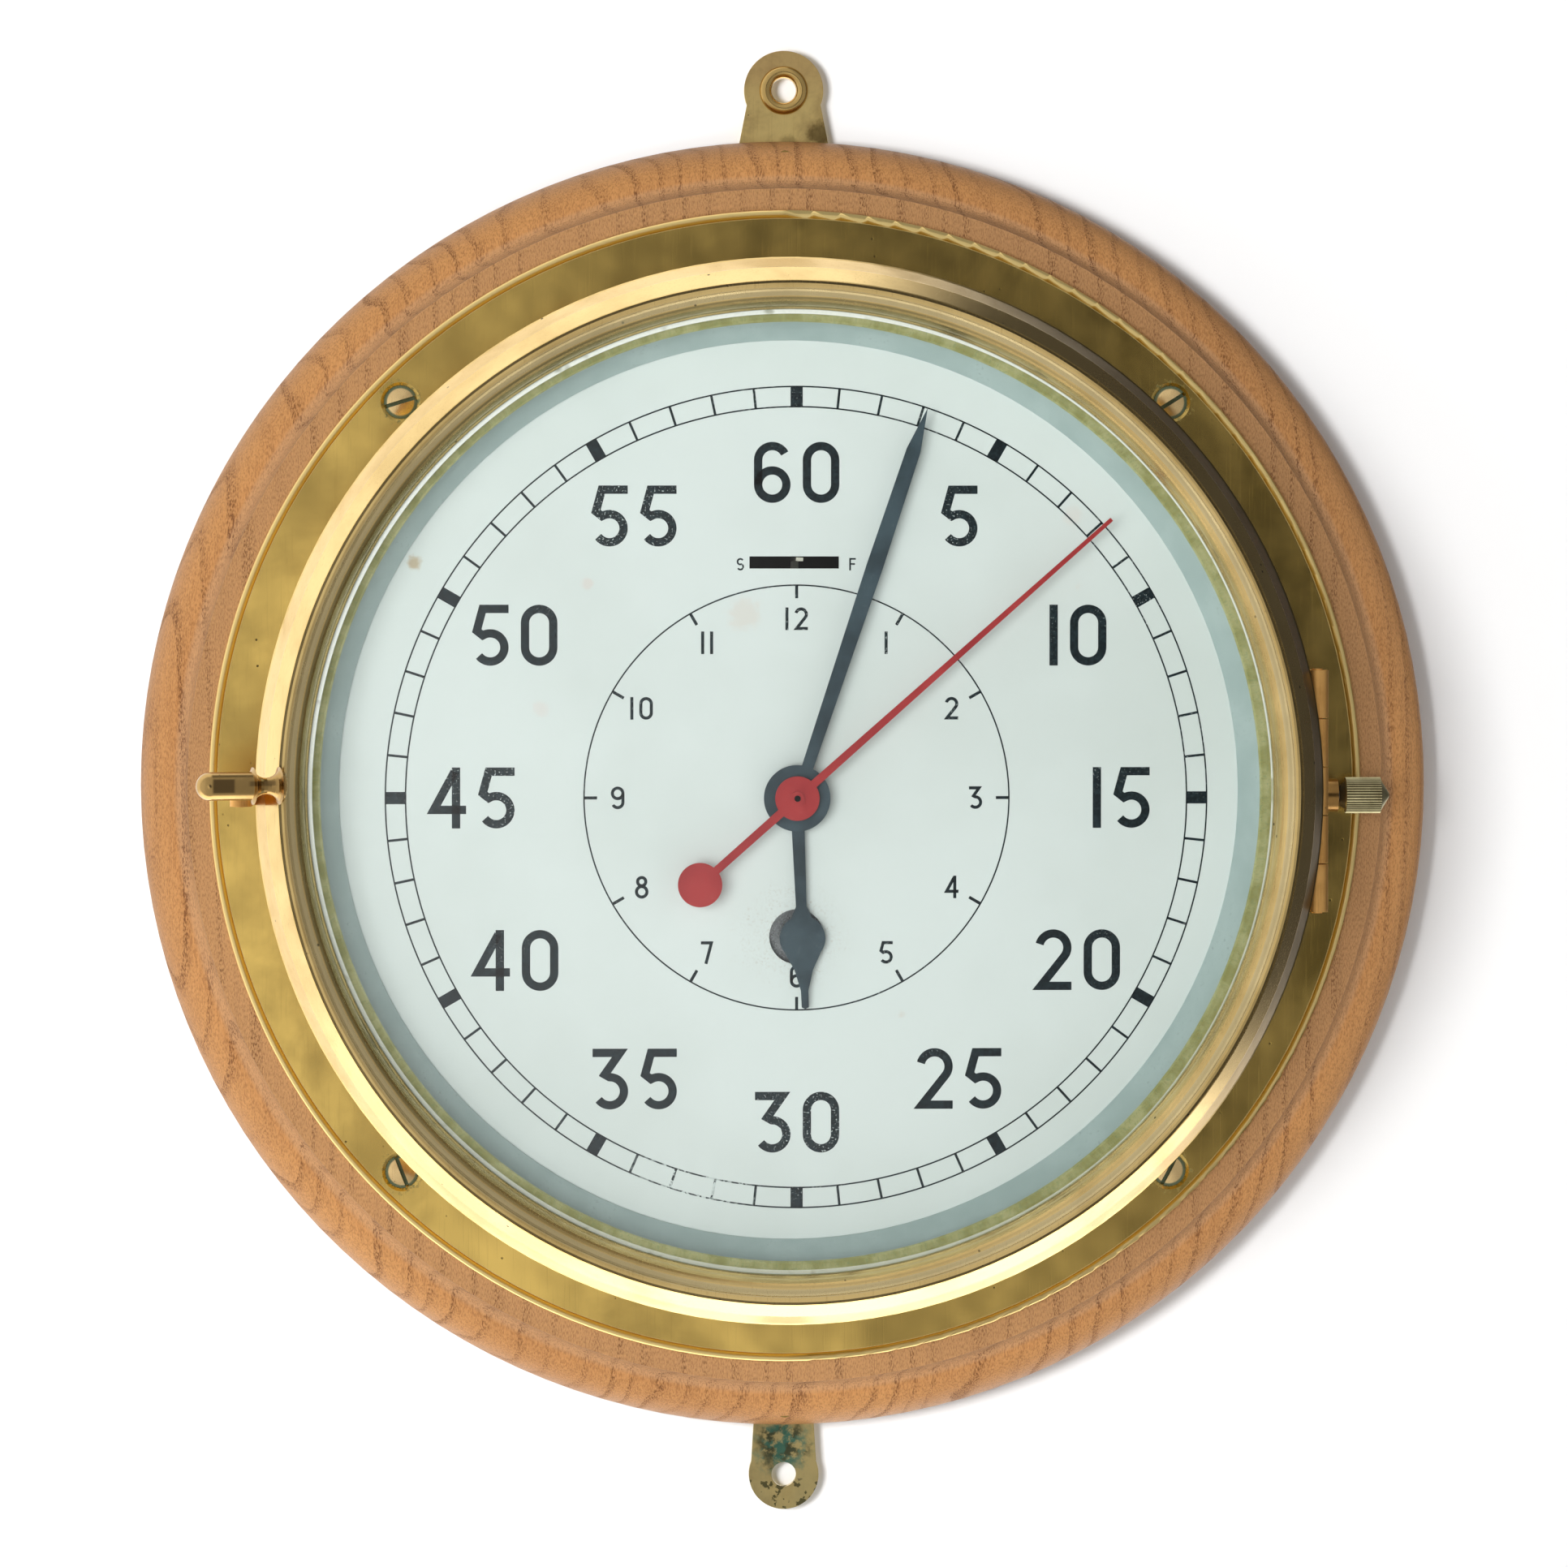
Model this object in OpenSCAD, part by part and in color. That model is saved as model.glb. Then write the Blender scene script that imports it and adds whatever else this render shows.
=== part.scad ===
// Bulkhead clock: a brass ship's clock with a hinged bezel, on a turned wooden backboard.
// Each piece is drawn lying on its back: X to the right, Y up the dial, Z out from the wall.
// on_wall() stands it up, so that the clock faces -Y with +Z up and its back on Y = 0.
// The origin is the centre of the backboard's back, on the axis of the case.

/* [Backboard and hangers] */
// Thickness of the backboard at its raised land
wood_t = 20; // [17:0.5:26]
// Width of the raised land outside the case flange
land_margin = 5.1; // [3:0.1:10]
// Width of the moulding outside the raised land
moulding_w = 11.6; // [8:0.1:18]
// Width of the steep cove beside the land
cove_w = 2.6; // [1.5:0.1:3.5]
// Depth of the steep cove beside the land
cove_h = 5.4; // [3:0.1:7]
// Width of the flat fillet between the cove and the rounded edge
fillet_w = 0.8; // [0.4:0.1:1.5]
// Height of the upright outer edge under the rounded moulding
wood_edge_h = 4; // [2:0.5:6]
// Thickness of wood left behind the case
wood_floor_t = 4.3; // [3:0.1:6]
// Thickness of the brass hanger plates
hanger_t = 2.5; // [1.5:0.1:3.5]
// Distance of a hanger's hole outside the edge of the wood
ear_out = 11.9; // [10:0.1:18]
// Radius of the hanging holes
ear_hole_r = 2.85; // [2:0.05:3.5]
// Radius of the round head of the top hanger
top_ear_r = 9.15; // [8:0.05:11]
// Half width of the top hanger at the edge of the wood
top_neck_w = 10.5; // [9.5:0.1:12]
// Radius of the round head of the bottom hanger
bottom_ear_r = 8.1; // [7:0.1:10]
// Half width of the bottom hanger's neck
bottom_neck_w = 6.9; // [5.5:0.1:7.5]
// Distance from the hanger's hole to the inner end of its plate
hanger_len = 44; // [36:1:50]
// Outer radius of the rolled eyelet in the top hanger
eyelet_r = 5.6; // [5:0.1:6.5]

/* [Case] */
// Outer radius of the drum in front of the flange
drum_r = 116; // [100:0.5:132]
// Wall thickness of the drum
drum_t = 2.5; // [2:0.1:3]
// Width of the flange outside the drum
flange_w = 16; // [14:0.1:20]
// Thickness of the case flange
flange_t = 2.5; // [2:0.1:3.5]
// Radius of the rolled bead on the flange's rim
bead_r = 0.9; // [0.6:0.05:1.2]
// How far the round pan behind the flange sits inside the drum's outer radius
pan_inset = 18; // [14:0.5:22]
// Thickness of the pan's sheet
pan_t = 1.5; // [1:0.1:2]
// Distance from the wall to the drum's front rim
drum_z = 55; // [53.5:0.1:56]
// Distance of the flange screws outside the drum
flange_screw_out = 8.6; // [7.5:0.1:9.5]
// Radius of a flange screw's head
flange_head_r = 3.78; // [3.2:0.02:4]
// Radius of the countersink around a flange screw's head
flange_sink_r = 4.54; // [4.3:0.02:4.8]

/* [Bezel and glass] */
// How far the bezel stands out beyond the drum
bezel_lap = 3.8; // [3.3:0.1:4.3]
// Height of the bezel from its back to its ridge
bezel_h = 13.8; // [12.5:0.1:14.5]
// Height of the bezel's upright outer edge
bezel_edge_h = 2.2; // [1.5:0.1:3]
// Width of the bezel's outer slope, from its outside to its ridge
ridge_in = 5.7; // [5:0.1:6.4]
// Width of the bezel's inner slope, from its ridge to its opening
sight_in = 6.1; // [5.4:0.1:7]
// Depth of the inner slope from the ridge to the glass edge
slope_h = 5.6; // [4.5:0.1:6]
// Thickness of the glass
glass_t = 4.1; // [3.5:0.1:4.4]
// How far inside the bezel's opening the glass's polished bevel starts
glass_bevel_in = 1.9; // [1.4:0.1:4]
// How far the ring that holds the glass shows inside the bezel's opening
retainer_in = 2.8; // [2:0.1:3.6]
// Thickness of the ring that holds the glass
retainer_t = 1.4; // [1:0.1:1.8]
// Thickness of the seal on the drum's rim
gasket_t = 0.9; // [0.6:0.1:1]

/* [Hinge, latch and stop knob] */
// How far inside the bezel's outer radius the hinge axis lies
hinge_in = 1; // [0.7:0.05:1.1]
// Radius of the hinge knuckles
knuckle_r = 2.5; // [2.2:0.05:2.55]
// Length of one hinge knuckle
knuckle_len = 10.9; // [9:0.1:12]
// Radius of the hinge pin
hinge_pin_r = 1.2; // [0.9:0.05:1.4]
// Radius of the latch lever's barrel
latch_r = 3.15; // [2.9:0.05:3.4]
// Radius of the latch lever's bell-shaped toe
toe_r = 3.6; // [3.2:0.05:3.9]
// Radius of the latch lever's waist
waist_r = 1.8; // [1.5:0.05:2.2]
// Length of the latch lever from its toe to the centre of its round end
latch_len = 16.8; // [15.5:0.1:18]
// Tilt of the latch lever away from the wall, in degrees
latch_tilt = 18; // [14:1:20]
// Height of the latch lever above the case axis
latch_y = 2; // [1.8:0.1:2.4]
// Radius of the latch pin
latch_pin_r = 1; // [0.8:0.05:1.2]
// Distance from the wall to the axis of the stop knob
stop_z = 31.5; // [30.5:0.1:32.5]
// Radius of the knurled stop knob
stop_knob_r = 4.1; // [3.6:0.05:4.4]
// Length of the knurled part of the stop knob
stop_knob_len = 8; // [6:0.1:10]
// Radius of the stop knob's spindle
stop_spindle_r = 1.5; // [1.2:0.05:1.8]
// Distance from the drum to the end of the stop knob's bush
stop_bush_len = 9.7; // [8.5:0.1:11]

/* [Dial and hands] */
// How far the movement and the dial's print sit to the right of the case axis
movement_x = 1.7; // [0:0.1:2]
// How far the movement and the dial's print sit above the case axis
movement_y = -1.65; // [-2:0.05:0]
// Gap between the drum's wall and the dial plate
dial_gap = 9.5; // [8.5:0.1:11]
// Thickness of the dial plate
dial_t = 1.2; // [0.8:0.1:1.6]
// Distance from the movement's front plate to the dial's face
dial_standoff = 7.7; // [7.4:0.1:7.9]
// How far the sloping ring laps over the edge of the dial
surround_lap = 2.5; // [2:0.1:3.5]
// Radius of the winding hole in the dial
winding_hole_r = 6.2; // [5.8:0.1:6.8]
// Length of the regulator's slot in the dial
slot_len = 20.2; // [19.8:0.1:22]
// Height of the regulator's slot in the dial
slot_h = 2.75; // [2.7:0.05:3.2]
// Height of the regulator's slot above the hands' pivot
slot_y = 53.1; // [52.5:0.1:55]
// How far the minute hand's tip stays inside the sloping ring
minute_short = 8.9; // [5:0.1:20]
// Width of the minute hand at its widest
minute_w = 3.75; // [3:0.05:4.5]
// Length of the hour hand
hour_len = 47.7; // [42:0.1:54]
// Width of the hour hand's spade
spade_w = 10.3; // [8:0.1:12]
// How far the seconds hand's tip stays inside the sloping ring
seconds_short = 6.9; // [4:0.1:20]
// Radius of the round counterweight on the seconds hand
tail_r = 5; // [4:0.1:6]
// Distance from the pivot to the counterweight's centre
tail_len = 29.3; // [24:0.1:36]
// Clockwise angle of the minute hand from twelve, in degrees
minute_angle = 18.5; // [0:0.1:360]
// Clockwise angle of the hour hand from twelve, in degrees
hour_angle = 177.7; // [0:0.1:360]
// Clockwise angle of the seconds hand from twelve, in degrees
seconds_angle = 48.4; // [0:0.1:360]

/* [Movement] */
// Radius of the movement's round plates
plate_r = 50; // [49:0.5:56]
// How far the plates' centre sits below the hands' pivot
plate_drop = 7; // [6:0.1:8]
// Thickness of each movement plate
plate_t = 2.5; // [2:0.1:3]
// Distance from the wall to the back plate
back_plate_z = 18; // [17.8:0.1:18.4]
// Length of the pillars between the plates
pillar_len = 14.5; // [14.4:0.1:15]
// Distance of the pillars from the plates' centre
pillar_at_r = 45; // [43:0.5:46]
// Distance of the barrel's arbor below the hands' pivot
barrel_drop = 31.4; // [30.8:0.1:32]
// Radius of the mainspring barrel
barrel_r = 16.4; // [15:0.1:16.6]
// Height of the mainspring barrel
barrel_h = 9.6; // [9:0.1:9.8]
// Radius of the barrel's arbor
barrel_arbor_r = 2.5; // [2.45:0.05:2.8]
// Side of the winding square
square_w = 3.4; // [2.8:0.1:3.45]
// Distance from the wall to the end of the winding square
square_end_z = 42.4; // [41.6:0.1:42.6]
// Distance of the minute wheel's post from the hands' pivot
motion_work_d = 12; // [11.6:0.1:12.6]
// Distance of the third wheel's arbor from the hands' pivot
third_d = 13.5; // [13.3:0.05:14]
// Distance of the escape wheel's arbor from the hands' pivot
escape_d = 13.2; // [13.1:0.05:13.6]
// Distance of the intermediate wheel's arbor from the hands' pivot
intermediate_d = 14.8; // [14.6:0.05:15.2]
// Radius of the escape wheel
escape_r = 5; // [4.5:0.05:5.2]
// Height of the balance's axis above the hands' pivot
balance_y = 22.5; // [22:0.1:23]
// Radius of the balance wheel's rim
balance_r = 10.5; // [9:0.1:10.8]

/* [Hidden] */
$fn = 96;

// Clearances and small sizes that several pieces share
run_gap = 0.3;       // between pieces that move past each other
fit_gap = 0.05;      // radial play of a shaft in its hole
slot_w = 0.9;        // width of a screw's slot
eps = 0.01;          // overshoot of a cut through a face
moulding_steps = 14; // points along a rounded moulding

// Radii that follow from the drum, outwards and inwards
flange_r = drum_r + flange_w;
flange_screw_pcd_r = drum_r + flange_screw_out;
land_r = flange_r + land_margin;
wood_r = land_r + moulding_w;
ear_y = wood_r + ear_out;
pan_r = drum_r - pan_inset;
bezel_r = drum_r + bezel_lap;
ridge_r = bezel_r - ridge_in;
sight_r = ridge_r - sight_in;
glass_flat_r = sight_r - glass_bevel_in;
retainer_r = sight_r - retainer_in;
hinge_x = bezel_r - hinge_in;
stop_bush_x = drum_r + stop_bush_len;
dial_r = drum_r - drum_t - dial_gap;
surround_r = dial_r - surround_lap;
minute_len = surround_r - minute_short;
seconds_len = surround_r - seconds_short;

// Levels above the wall
flange_z = wood_t;
pan_back_z = wood_floor_t;
pan_floor_z = pan_back_z + pan_t;
bezel_z = drum_z + gasket_t + run_gap;
ridge_z = bezel_z + bezel_h;
glass_face_z = ridge_z - slope_h - 0.8;
glass_back_z = glass_face_z - glass_t;
glass_r = sight_r + 2.7;
hinge_z = drum_z - 1.6;
front_plate_z = back_plate_z + plate_t + pillar_len;
front_face_z = front_plate_z + plate_t;
pivot_top_z = front_face_z;
dial_z = front_face_z + dial_standoff;
back_face_z = back_plate_z + plate_t;

// Hangers
eyelet_wall = 0.6;
hanger_screw_r = 1.6;
hanger_head_r = 3.4;
hanger_screw_len = 12;
hanger_screw_inset = [16, 36];

// Flange screws: the angle of each slot, from the top right screw, anticlockwise
flange_slot_angles = [32, 17, -69, 63];
flange_shank_r = 2.1;
flange_screw_len = 14;
flange_sink_h = 0.5;
flange_cone_h = flange_head_r - flange_shank_r;

// Surround ring
surround_t = 1.2;
surround_lip_r = drum_r - drum_t - 0.2;
surround_seat_z = drum_z - 1.8;
surround_screw_r = 0.8;
surround_screw_at = surround_lip_r - 2.2;
ledge_w = 4.2;
ledge_h = 4;

// Latch
latch_pivot_x = bezel_r + 2.85;
latch_pivot_z = bezel_z + 10.8;
latch_block_w = 3.05;
latch_block_low_y = latch_y - 4.85;
latch_block_side = 2.35;
latch_toe_x = ridge_r - 1.3;
latch_toe_z = ridge_z + run_gap + toe_r * cos(latch_tilt);
stop_bush_r = stop_spindle_r + 1.45;
stop_neck = 1.8;
stop_socket = stop_knob_len * 0.7;
side_screw_r = 1.1;
side_head_r = 2.2;
side_cone_h = 1.1;
side_screw_len = hinge_x - drum_r + drum_t + 2.7;
latch_screw_len = latch_pivot_x + latch_block_side - drum_r + drum_t + 1.6;
hinge_screw_z = hinge_z - 9.4;
hinge_screw_y = [-21, -8, 8, 21];
hinge_leaf_h = 15.4;
hinge_half = 2.5 * knuckle_len;

// Train: teeth of each wheel and pinion, and the module of each pair
great_teeth = 78;
intermediate_leaves = 12;
intermediate_teeth = 64;
centre_leaves = 10;
centre_teeth = 80;
third_leaves = 10;
third_teeth = 75;
seconds_leaves = 10;
seconds_teeth = 80;
escape_leaves = 8;
escape_teeth = 15;
cannon_leaves = 12;
minute_teeth = 36;
minute_leaves = 10;
hour_teeth = 40;
great_module = 0.45;
great_d = great_module * (great_teeth + intermediate_leaves) / 2;
intermediate_module = 2 * intermediate_d / (intermediate_teeth + centre_leaves);
centre_module = 2 * third_d / (centre_teeth + third_leaves);
third_module = 2 * third_d / (third_teeth + seconds_leaves);
seconds_module = 2 * escape_d / (seconds_teeth + escape_leaves);
cannon_module = 2 * motion_work_d / (cannon_leaves + minute_teeth);
hour_module = 2 * motion_work_d / (minute_leaves + hour_teeth);

// Tooth forms, from root to tip: [height above the pitch circle, half width], in modules
WHEEL_FORM = [[-1.15, 0.74], [0.85, 0.24]];
PINION_FORM = [[-1.25, 0.42], [0, 0.56], [0.45, 0.30]];

// Places on the movement, from the hands' pivot
barrel_at = [0, -barrel_drop];
intermediate_y = -(barrel_drop * barrel_drop + intermediate_d * intermediate_d - great_d * great_d)
    / (2 * barrel_drop);
intermediate_at = [sqrt(intermediate_d * intermediate_d - intermediate_y * intermediate_y),
    intermediate_y];
third_at = third_d * [cos(150), sin(150)];
escape_at = escape_d * [cos(60), sin(60)];
slot_x = -0.55;
balance_at = [slot_x, balance_y];
to_balance = (balance_at - escape_at) / norm(balance_at - escape_at);
lever_reach = escape_r + 1.3;
lever_at = escape_at + lever_reach * to_balance;
minute_post_at = [motion_work_d, 0];
plate_at = [0, -plate_drop];
pillar_angles = [45, 135, 225, 315];
bridge_foot_at = escape_at + [7.9, 4.6];
cock_foot_out = 15.7;
cock_foot_at = balance_at + [0, cock_foot_out];
dial_feet_at = [[18, 31.2], [-18, 31.2], [24, -34], [-24, -34]];

// Levels and thicknesses inside the movement
wheel_t = 0.8;
great_z = back_face_z + 0.8;
great_t = 1.4;
barrel_z = great_z + great_t;
barrel_wall = 1.1;
seconds_wheel_z = back_face_z + 3;
seconds_pinion_z = seconds_wheel_z + 1.5;
third_wheel_z = seconds_pinion_z + 0.8;
third_pinion_z = third_wheel_z + 3.4;
centre_wheel_z = third_pinion_z + 0.8;
centre_pinion_z = centre_wheel_z + 2;
intermediate_wheel_z = front_plate_z - 1.6;
motion_z = front_face_z + run_gap;
hour_wheel_z = motion_z + 2.4;
seconds_arbor_r = 0.7;
centre_pipe_r = 1.5;
cannon_pipe_r = 2.3;
hour_pipe_r = 3.2;
hour_hand_z = dial_z + 1.7;
minute_hand_z = dial_z + 3.7;
seconds_hand_z = dial_z + 5.7;
hand_t = 0.7;
small_pivot_r = 0.5;
ratchet_r = 8;
ratchet_teeth = 18;
ratchet_t = 1.4;
ratchet_tooth = 1.1;
click_len = 7.5;
click_tail = 4.2;
click_lean = 8;
click_tip_at = barrel_at + (ratchet_r + 0.1) * [cos(110), sin(110)];
click_at = click_tip_at - click_len * [cos(click_lean), sin(click_lean)];
bridge_z = back_plate_z - 5.4;
bridge_t = 0.9;
escape_z = back_plate_z - 3.4;
balance_z = back_plate_z - 7.2;
balance_t = 1.2;
hairspring_z = balance_z - 1.2;
hairspring_r = 5.55;
hairspring_hub_r = 1.5;
cock_z = pan_floor_z + 1.9;
cock_t = 1.5;
index_z = pan_floor_z + 0.8;
index_t = 0.8;
index_reach = slot_y + 0.75 - balance_y;
index_boss_r = 0.8;
index_tail = 5;
index_angle = 2.2;
impulse_r = 1.6;
impulse_pin_r = 0.22;

module on_wall() { rotate([90, 0, 0]) children(); }
module on_movement() { on_wall() translate([movement_x, movement_y, 0]) children(); }
module at(p, z = 0) { translate([p[0], p[1], z]) children(); }
module clockwise(a) { rotate(-a) children(); }

// Points of an arc or an ellipse's quarter, from angle a0 to a1
function arc(c, rx, ry, a0, a1, n) =
    [for (i = [0 : n]) let (a = a0 + (a1 - a0) * i / n) [c[0] + rx * cos(a), c[1] + ry * sin(a)]];

// Outline of a toothed wheel, with a tooth on the X axis
function gear_points(n, m, form) = [
    for (k = [0 : n - 1], s = [-1, 1], i = [0 : len(form) - 1])
        let (row = s < 0 ? form[i] : form[len(form) - 1 - i],
             r = m * (n / 2 + row[0]),
             a = 360 * k / n + s * row[1] * m / r * 180 / PI)
        [r * cos(a), r * sin(a)]];

// Angle of the line from one place to another
function bearing(p, q) = atan2(q[1] - p[1], q[0] - p[0]);

// A pinion that turns a wheel in direction a
module pinion(n, m, a, h) {
    rotate(a + 180 / n) linear_extrude(h) polygon(gear_points(n, m, PINION_FORM));
}

// A wheel with its rim, hub and arms, and a tooth in direction a
module crossed_wheel(n, m, a, h, hub_r, arms, arm_w) {
    rim_in = m * (n / 2 - 1.15) - 1.1;
    rotate(a) linear_extrude(h) difference() {
        polygon(gear_points(n, m, WHEEL_FORM));
        difference() {
            circle(rim_in);
            circle(hub_r);
            for (i = [0 : arms - 1]) rotate(360 * i / arms) translate([0, -arm_w / 2])
                square([rim_in + 1, arm_w]);
        }
    }
}

// A shaft between the plates, with a thinner pivot in each
module arbor(r, pivot_r) {
    translate([0, 0, back_plate_z]) cylinder(r = pivot_r, h = pivot_top_z - back_plate_z);
    translate([0, 0, back_face_z + 0.2]) cylinder(r = r, h = pillar_len - 0.4);
}

// A flat bar with round ends between two places
module bar(p, q, w, h) {
    linear_extrude(h) {
        translate(p) rotate(bearing(p, q)) translate([0, -w / 2]) square([norm(q - p), w]);
        translate(p) circle(w / 2);
        translate(q) circle(w / 2);
    }
}

// A screw pointing down from z = 0 with a cylinder head above it
module cheese_screw(head_r, head_h, r, len) {
    difference() {
        cylinder(r = head_r, h = head_h);
        translate([-head_r - 1, -slot_w / 2, head_h * 0.5]) cube([2 * head_r + 2, slot_w, head_h]);
    }
    translate([0, 0, -len]) cylinder(r = r, h = len + eps);
}

// A screw pointing down with its flat head's face on z = 0
module flat_screw(head_r, head_h, r, len) {
    difference() {
        union() {
            translate([0, 0, -head_h]) cylinder(r1 = r, r2 = head_r, h = head_h);
            translate([0, 0, -len]) cylinder(r = r, h = len - head_h + eps);
        }
        translate([-head_r - 1, -slot_w / 2, -0.7]) cube([2 * head_r + 2, slot_w, 1]);
    }
}

// The hole that a flat screw sits in
module flat_screw_hole(head_r, head_h, r, len) {
    translate([0, 0, -head_h]) cylinder(r1 = r + fit_gap, r2 = head_r + fit_gap, h = head_h + eps);
    translate([0, 0, -len - fit_gap]) cylinder(r = r + fit_gap, h = len);
}

// Backboard

module hanger_outline(head_r, neck_w) {
    neck_y = wood_r - 1.5;
    translate([0, ear_y]) circle(head_r);
    translate([0, ear_y - hanger_len]) circle(neck_w);
    polygon([[-neck_w, ear_y - hanger_len], [neck_w, ear_y - hanger_len], [neck_w, neck_y],
        [head_r * 0.93, ear_y - head_r * 0.36], [-head_r * 0.93, ear_y - head_r * 0.36],
        [-neck_w, neck_y]]);
}
module hanger_plate(head_r, neck_w, hole_r) {
    linear_extrude(hanger_t) difference() {
        hanger_outline(head_r, neck_w);
        translate([0, ear_y]) circle(hole_r);
    }
}
module hanger_screw_places() {
    for (d = hanger_screw_inset) translate([0, ear_y - d, 0]) rotate([180, 0, 0]) children();
}
module hanger_screw_holes() {
    hanger_screw_places()
        flat_screw_hole(hanger_head_r, hanger_head_r - hanger_screw_r, hanger_screw_r, hanger_screw_len);
}
module top_hanger() {
    color("darkgoldenrod") on_wall() difference() {
        hanger_plate(top_ear_r, top_neck_w, ear_hole_r + eyelet_wall + 0.02);
        hanger_screw_holes();
    }
}
module bottom_hanger() {
    color("darkgoldenrod") on_wall() rotate(180) difference() {
        hanger_plate(bottom_ear_r, bottom_neck_w, ear_hole_r);
        hanger_screw_holes();
    }
}
module hanger_eyelet() {
    ring = (eyelet_r - ear_hole_r) / 2;
    color("goldenrod") on_wall() translate([0, ear_y, 0]) rotate_extrude() union() {
        translate([ear_hole_r, 0]) square([eyelet_wall, hanger_t + 0.3]);
        intersection() {
            translate([ear_hole_r + ring, hanger_t]) circle(ring);
            translate([0, hanger_t]) square([eyelet_r + 1, ring]);
        }
    }
}
module hanger_screws() {
    color("darkkhaki") on_wall() for (turn = [0, 180]) rotate(turn) hanger_screw_places()
        flat_screw(hanger_head_r, hanger_head_r - hanger_screw_r, hanger_screw_r, hanger_screw_len);
}

module wood_backboard() {
    round_x = land_r + cove_w + fillet_w;
    round_z = wood_t - cove_h;
    recess_r = pan_r + 0.3;
    color("peru") on_wall() difference() {
        rotate_extrude() polygon(concat(
            [[0, 0], [wood_r - 1, 0], [wood_r, 1]],
            arc([round_x, wood_edge_h], wood_r - round_x, round_z - wood_edge_h, 0, 90, moulding_steps),
            arc([land_r + cove_w, wood_t], cove_w, cove_h, 270, 180, 8),
            [[recess_r, wood_t], [recess_r, wood_floor_t], [0, wood_floor_t]]));
        translate([0, 0, -1]) linear_extrude(hanger_t + 1) {
            hanger_outline(top_ear_r, top_neck_w + fit_gap);
            rotate(180) hanger_outline(bottom_ear_r, bottom_neck_w + fit_gap);
        }
        for (turn = [0, 180]) rotate(turn) hanger_screw_holes();
        flange_screw_places() flange_screw_hole();
    }
}

// Case

module flange_screw_places() {
    for (i = [0 : 3]) rotate(45 + 90 * i)
        translate([flange_screw_pcd_r, 0, flange_z + flange_t - flange_sink_h])
            rotate(flange_slot_angles[i] - 45 - 90 * i) children();
}
module flange_screw_hole() {
    flat_screw_hole(flange_head_r, flange_cone_h, flange_shank_r, flange_screw_len);
    cylinder(r1 = flange_head_r + fit_gap, r2 = flange_sink_r, h = flange_sink_h + eps);
}
module hinge_screw_places() {
    for (y = hinge_screw_y) translate([hinge_x - 0.5, y, hinge_screw_z]) rotate([0, 90, 0]) children();
}
module latch_screw_places() {
    for (z = [-3.5, 3.5]) translate([-latch_pivot_x - latch_block_side,
        latch_block_low_y + latch_block_w / 2, hinge_screw_z + z + 1]) rotate([0, -90, 0]) children();
}
module side_screw_holes() {
    hinge_screw_places() flat_screw_hole(side_head_r, side_cone_h, side_screw_r, side_screw_len + 1);
    latch_screw_places() flat_screw_hole(side_head_r, side_cone_h, side_screw_r, latch_screw_len + 1);
}
module drum_side() { cylinder(r = drum_r + 0.02, h = 80, $fn = 720); }
module stop_axis() { translate([0, movement_y, stop_z]) rotate([0, 90, 0]) children(); }

module case_body() {
    inner_r = drum_r - drum_t;
    color("goldenrod") on_wall() difference() {
        rotate_extrude() union() {
            translate([0, pan_back_z]) square([pan_r, pan_t]);
            translate([pan_r - pan_t, pan_back_z]) square([pan_t, flange_z - pan_back_z + flange_t]);
            translate([pan_r - pan_t, flange_z]) square([flange_r - bead_r - pan_r + pan_t, flange_t]);
            translate([flange_r - bead_r, flange_z + flange_t]) circle(bead_r);
            translate([flange_r - bead_r - eps, flange_z]) square([bead_r * 0.85, flange_t]);
            translate([inner_r, flange_z]) square([drum_t, drum_z - flange_z]);
            polygon([[inner_r + eps, surround_seat_z - ledge_h], [inner_r + eps, surround_seat_z],
                     [inner_r - ledge_w, surround_seat_z]]);
        }
        flange_screw_places() flange_screw_hole();
        side_screw_holes();
        surround_screw_places() translate([0, 0, -5]) cylinder(r = surround_screw_r + fit_gap, h = 6);
        stop_axis() translate([0, 0, inner_r - 8]) cylinder(r = stop_bush_r + fit_gap, h = 16);
    }
}
module flange_screws() {
    cap_h = 1;
    cap_r = (flange_head_r * flange_head_r + cap_h * cap_h) / (2 * cap_h);
    cone_h = flange_cone_h;
    core_h = flange_screw_len - cone_h + eps;
    color("tan") on_wall() flange_screw_places() difference() {
        union() {
            intersection() {
                translate([0, 0, cap_h - cap_r]) sphere(cap_r);
                cylinder(r = flange_head_r, h = cap_h);
            }
            translate([0, 0, -cone_h]) cylinder(r1 = flange_shank_r, r2 = flange_head_r, h = cone_h + eps);
            translate([0, 0, -flange_screw_len]) cylinder(r = flange_shank_r, h = core_h);
        }
        translate([-flange_head_r - 1, -slot_w / 2, -0.4]) cube([2 * flange_head_r + 2, slot_w, 2]);
    }
}
module rim_gasket() {
    color("dimgray") on_wall() translate([0, 0, drum_z]) difference() {
        cylinder(r = drum_r - 0.1, h = gasket_t);
        translate([0, 0, -1]) cylinder(r = drum_r - drum_t + 0.1, h = gasket_t + 2);
    }
}

// Ring round the dial

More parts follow.
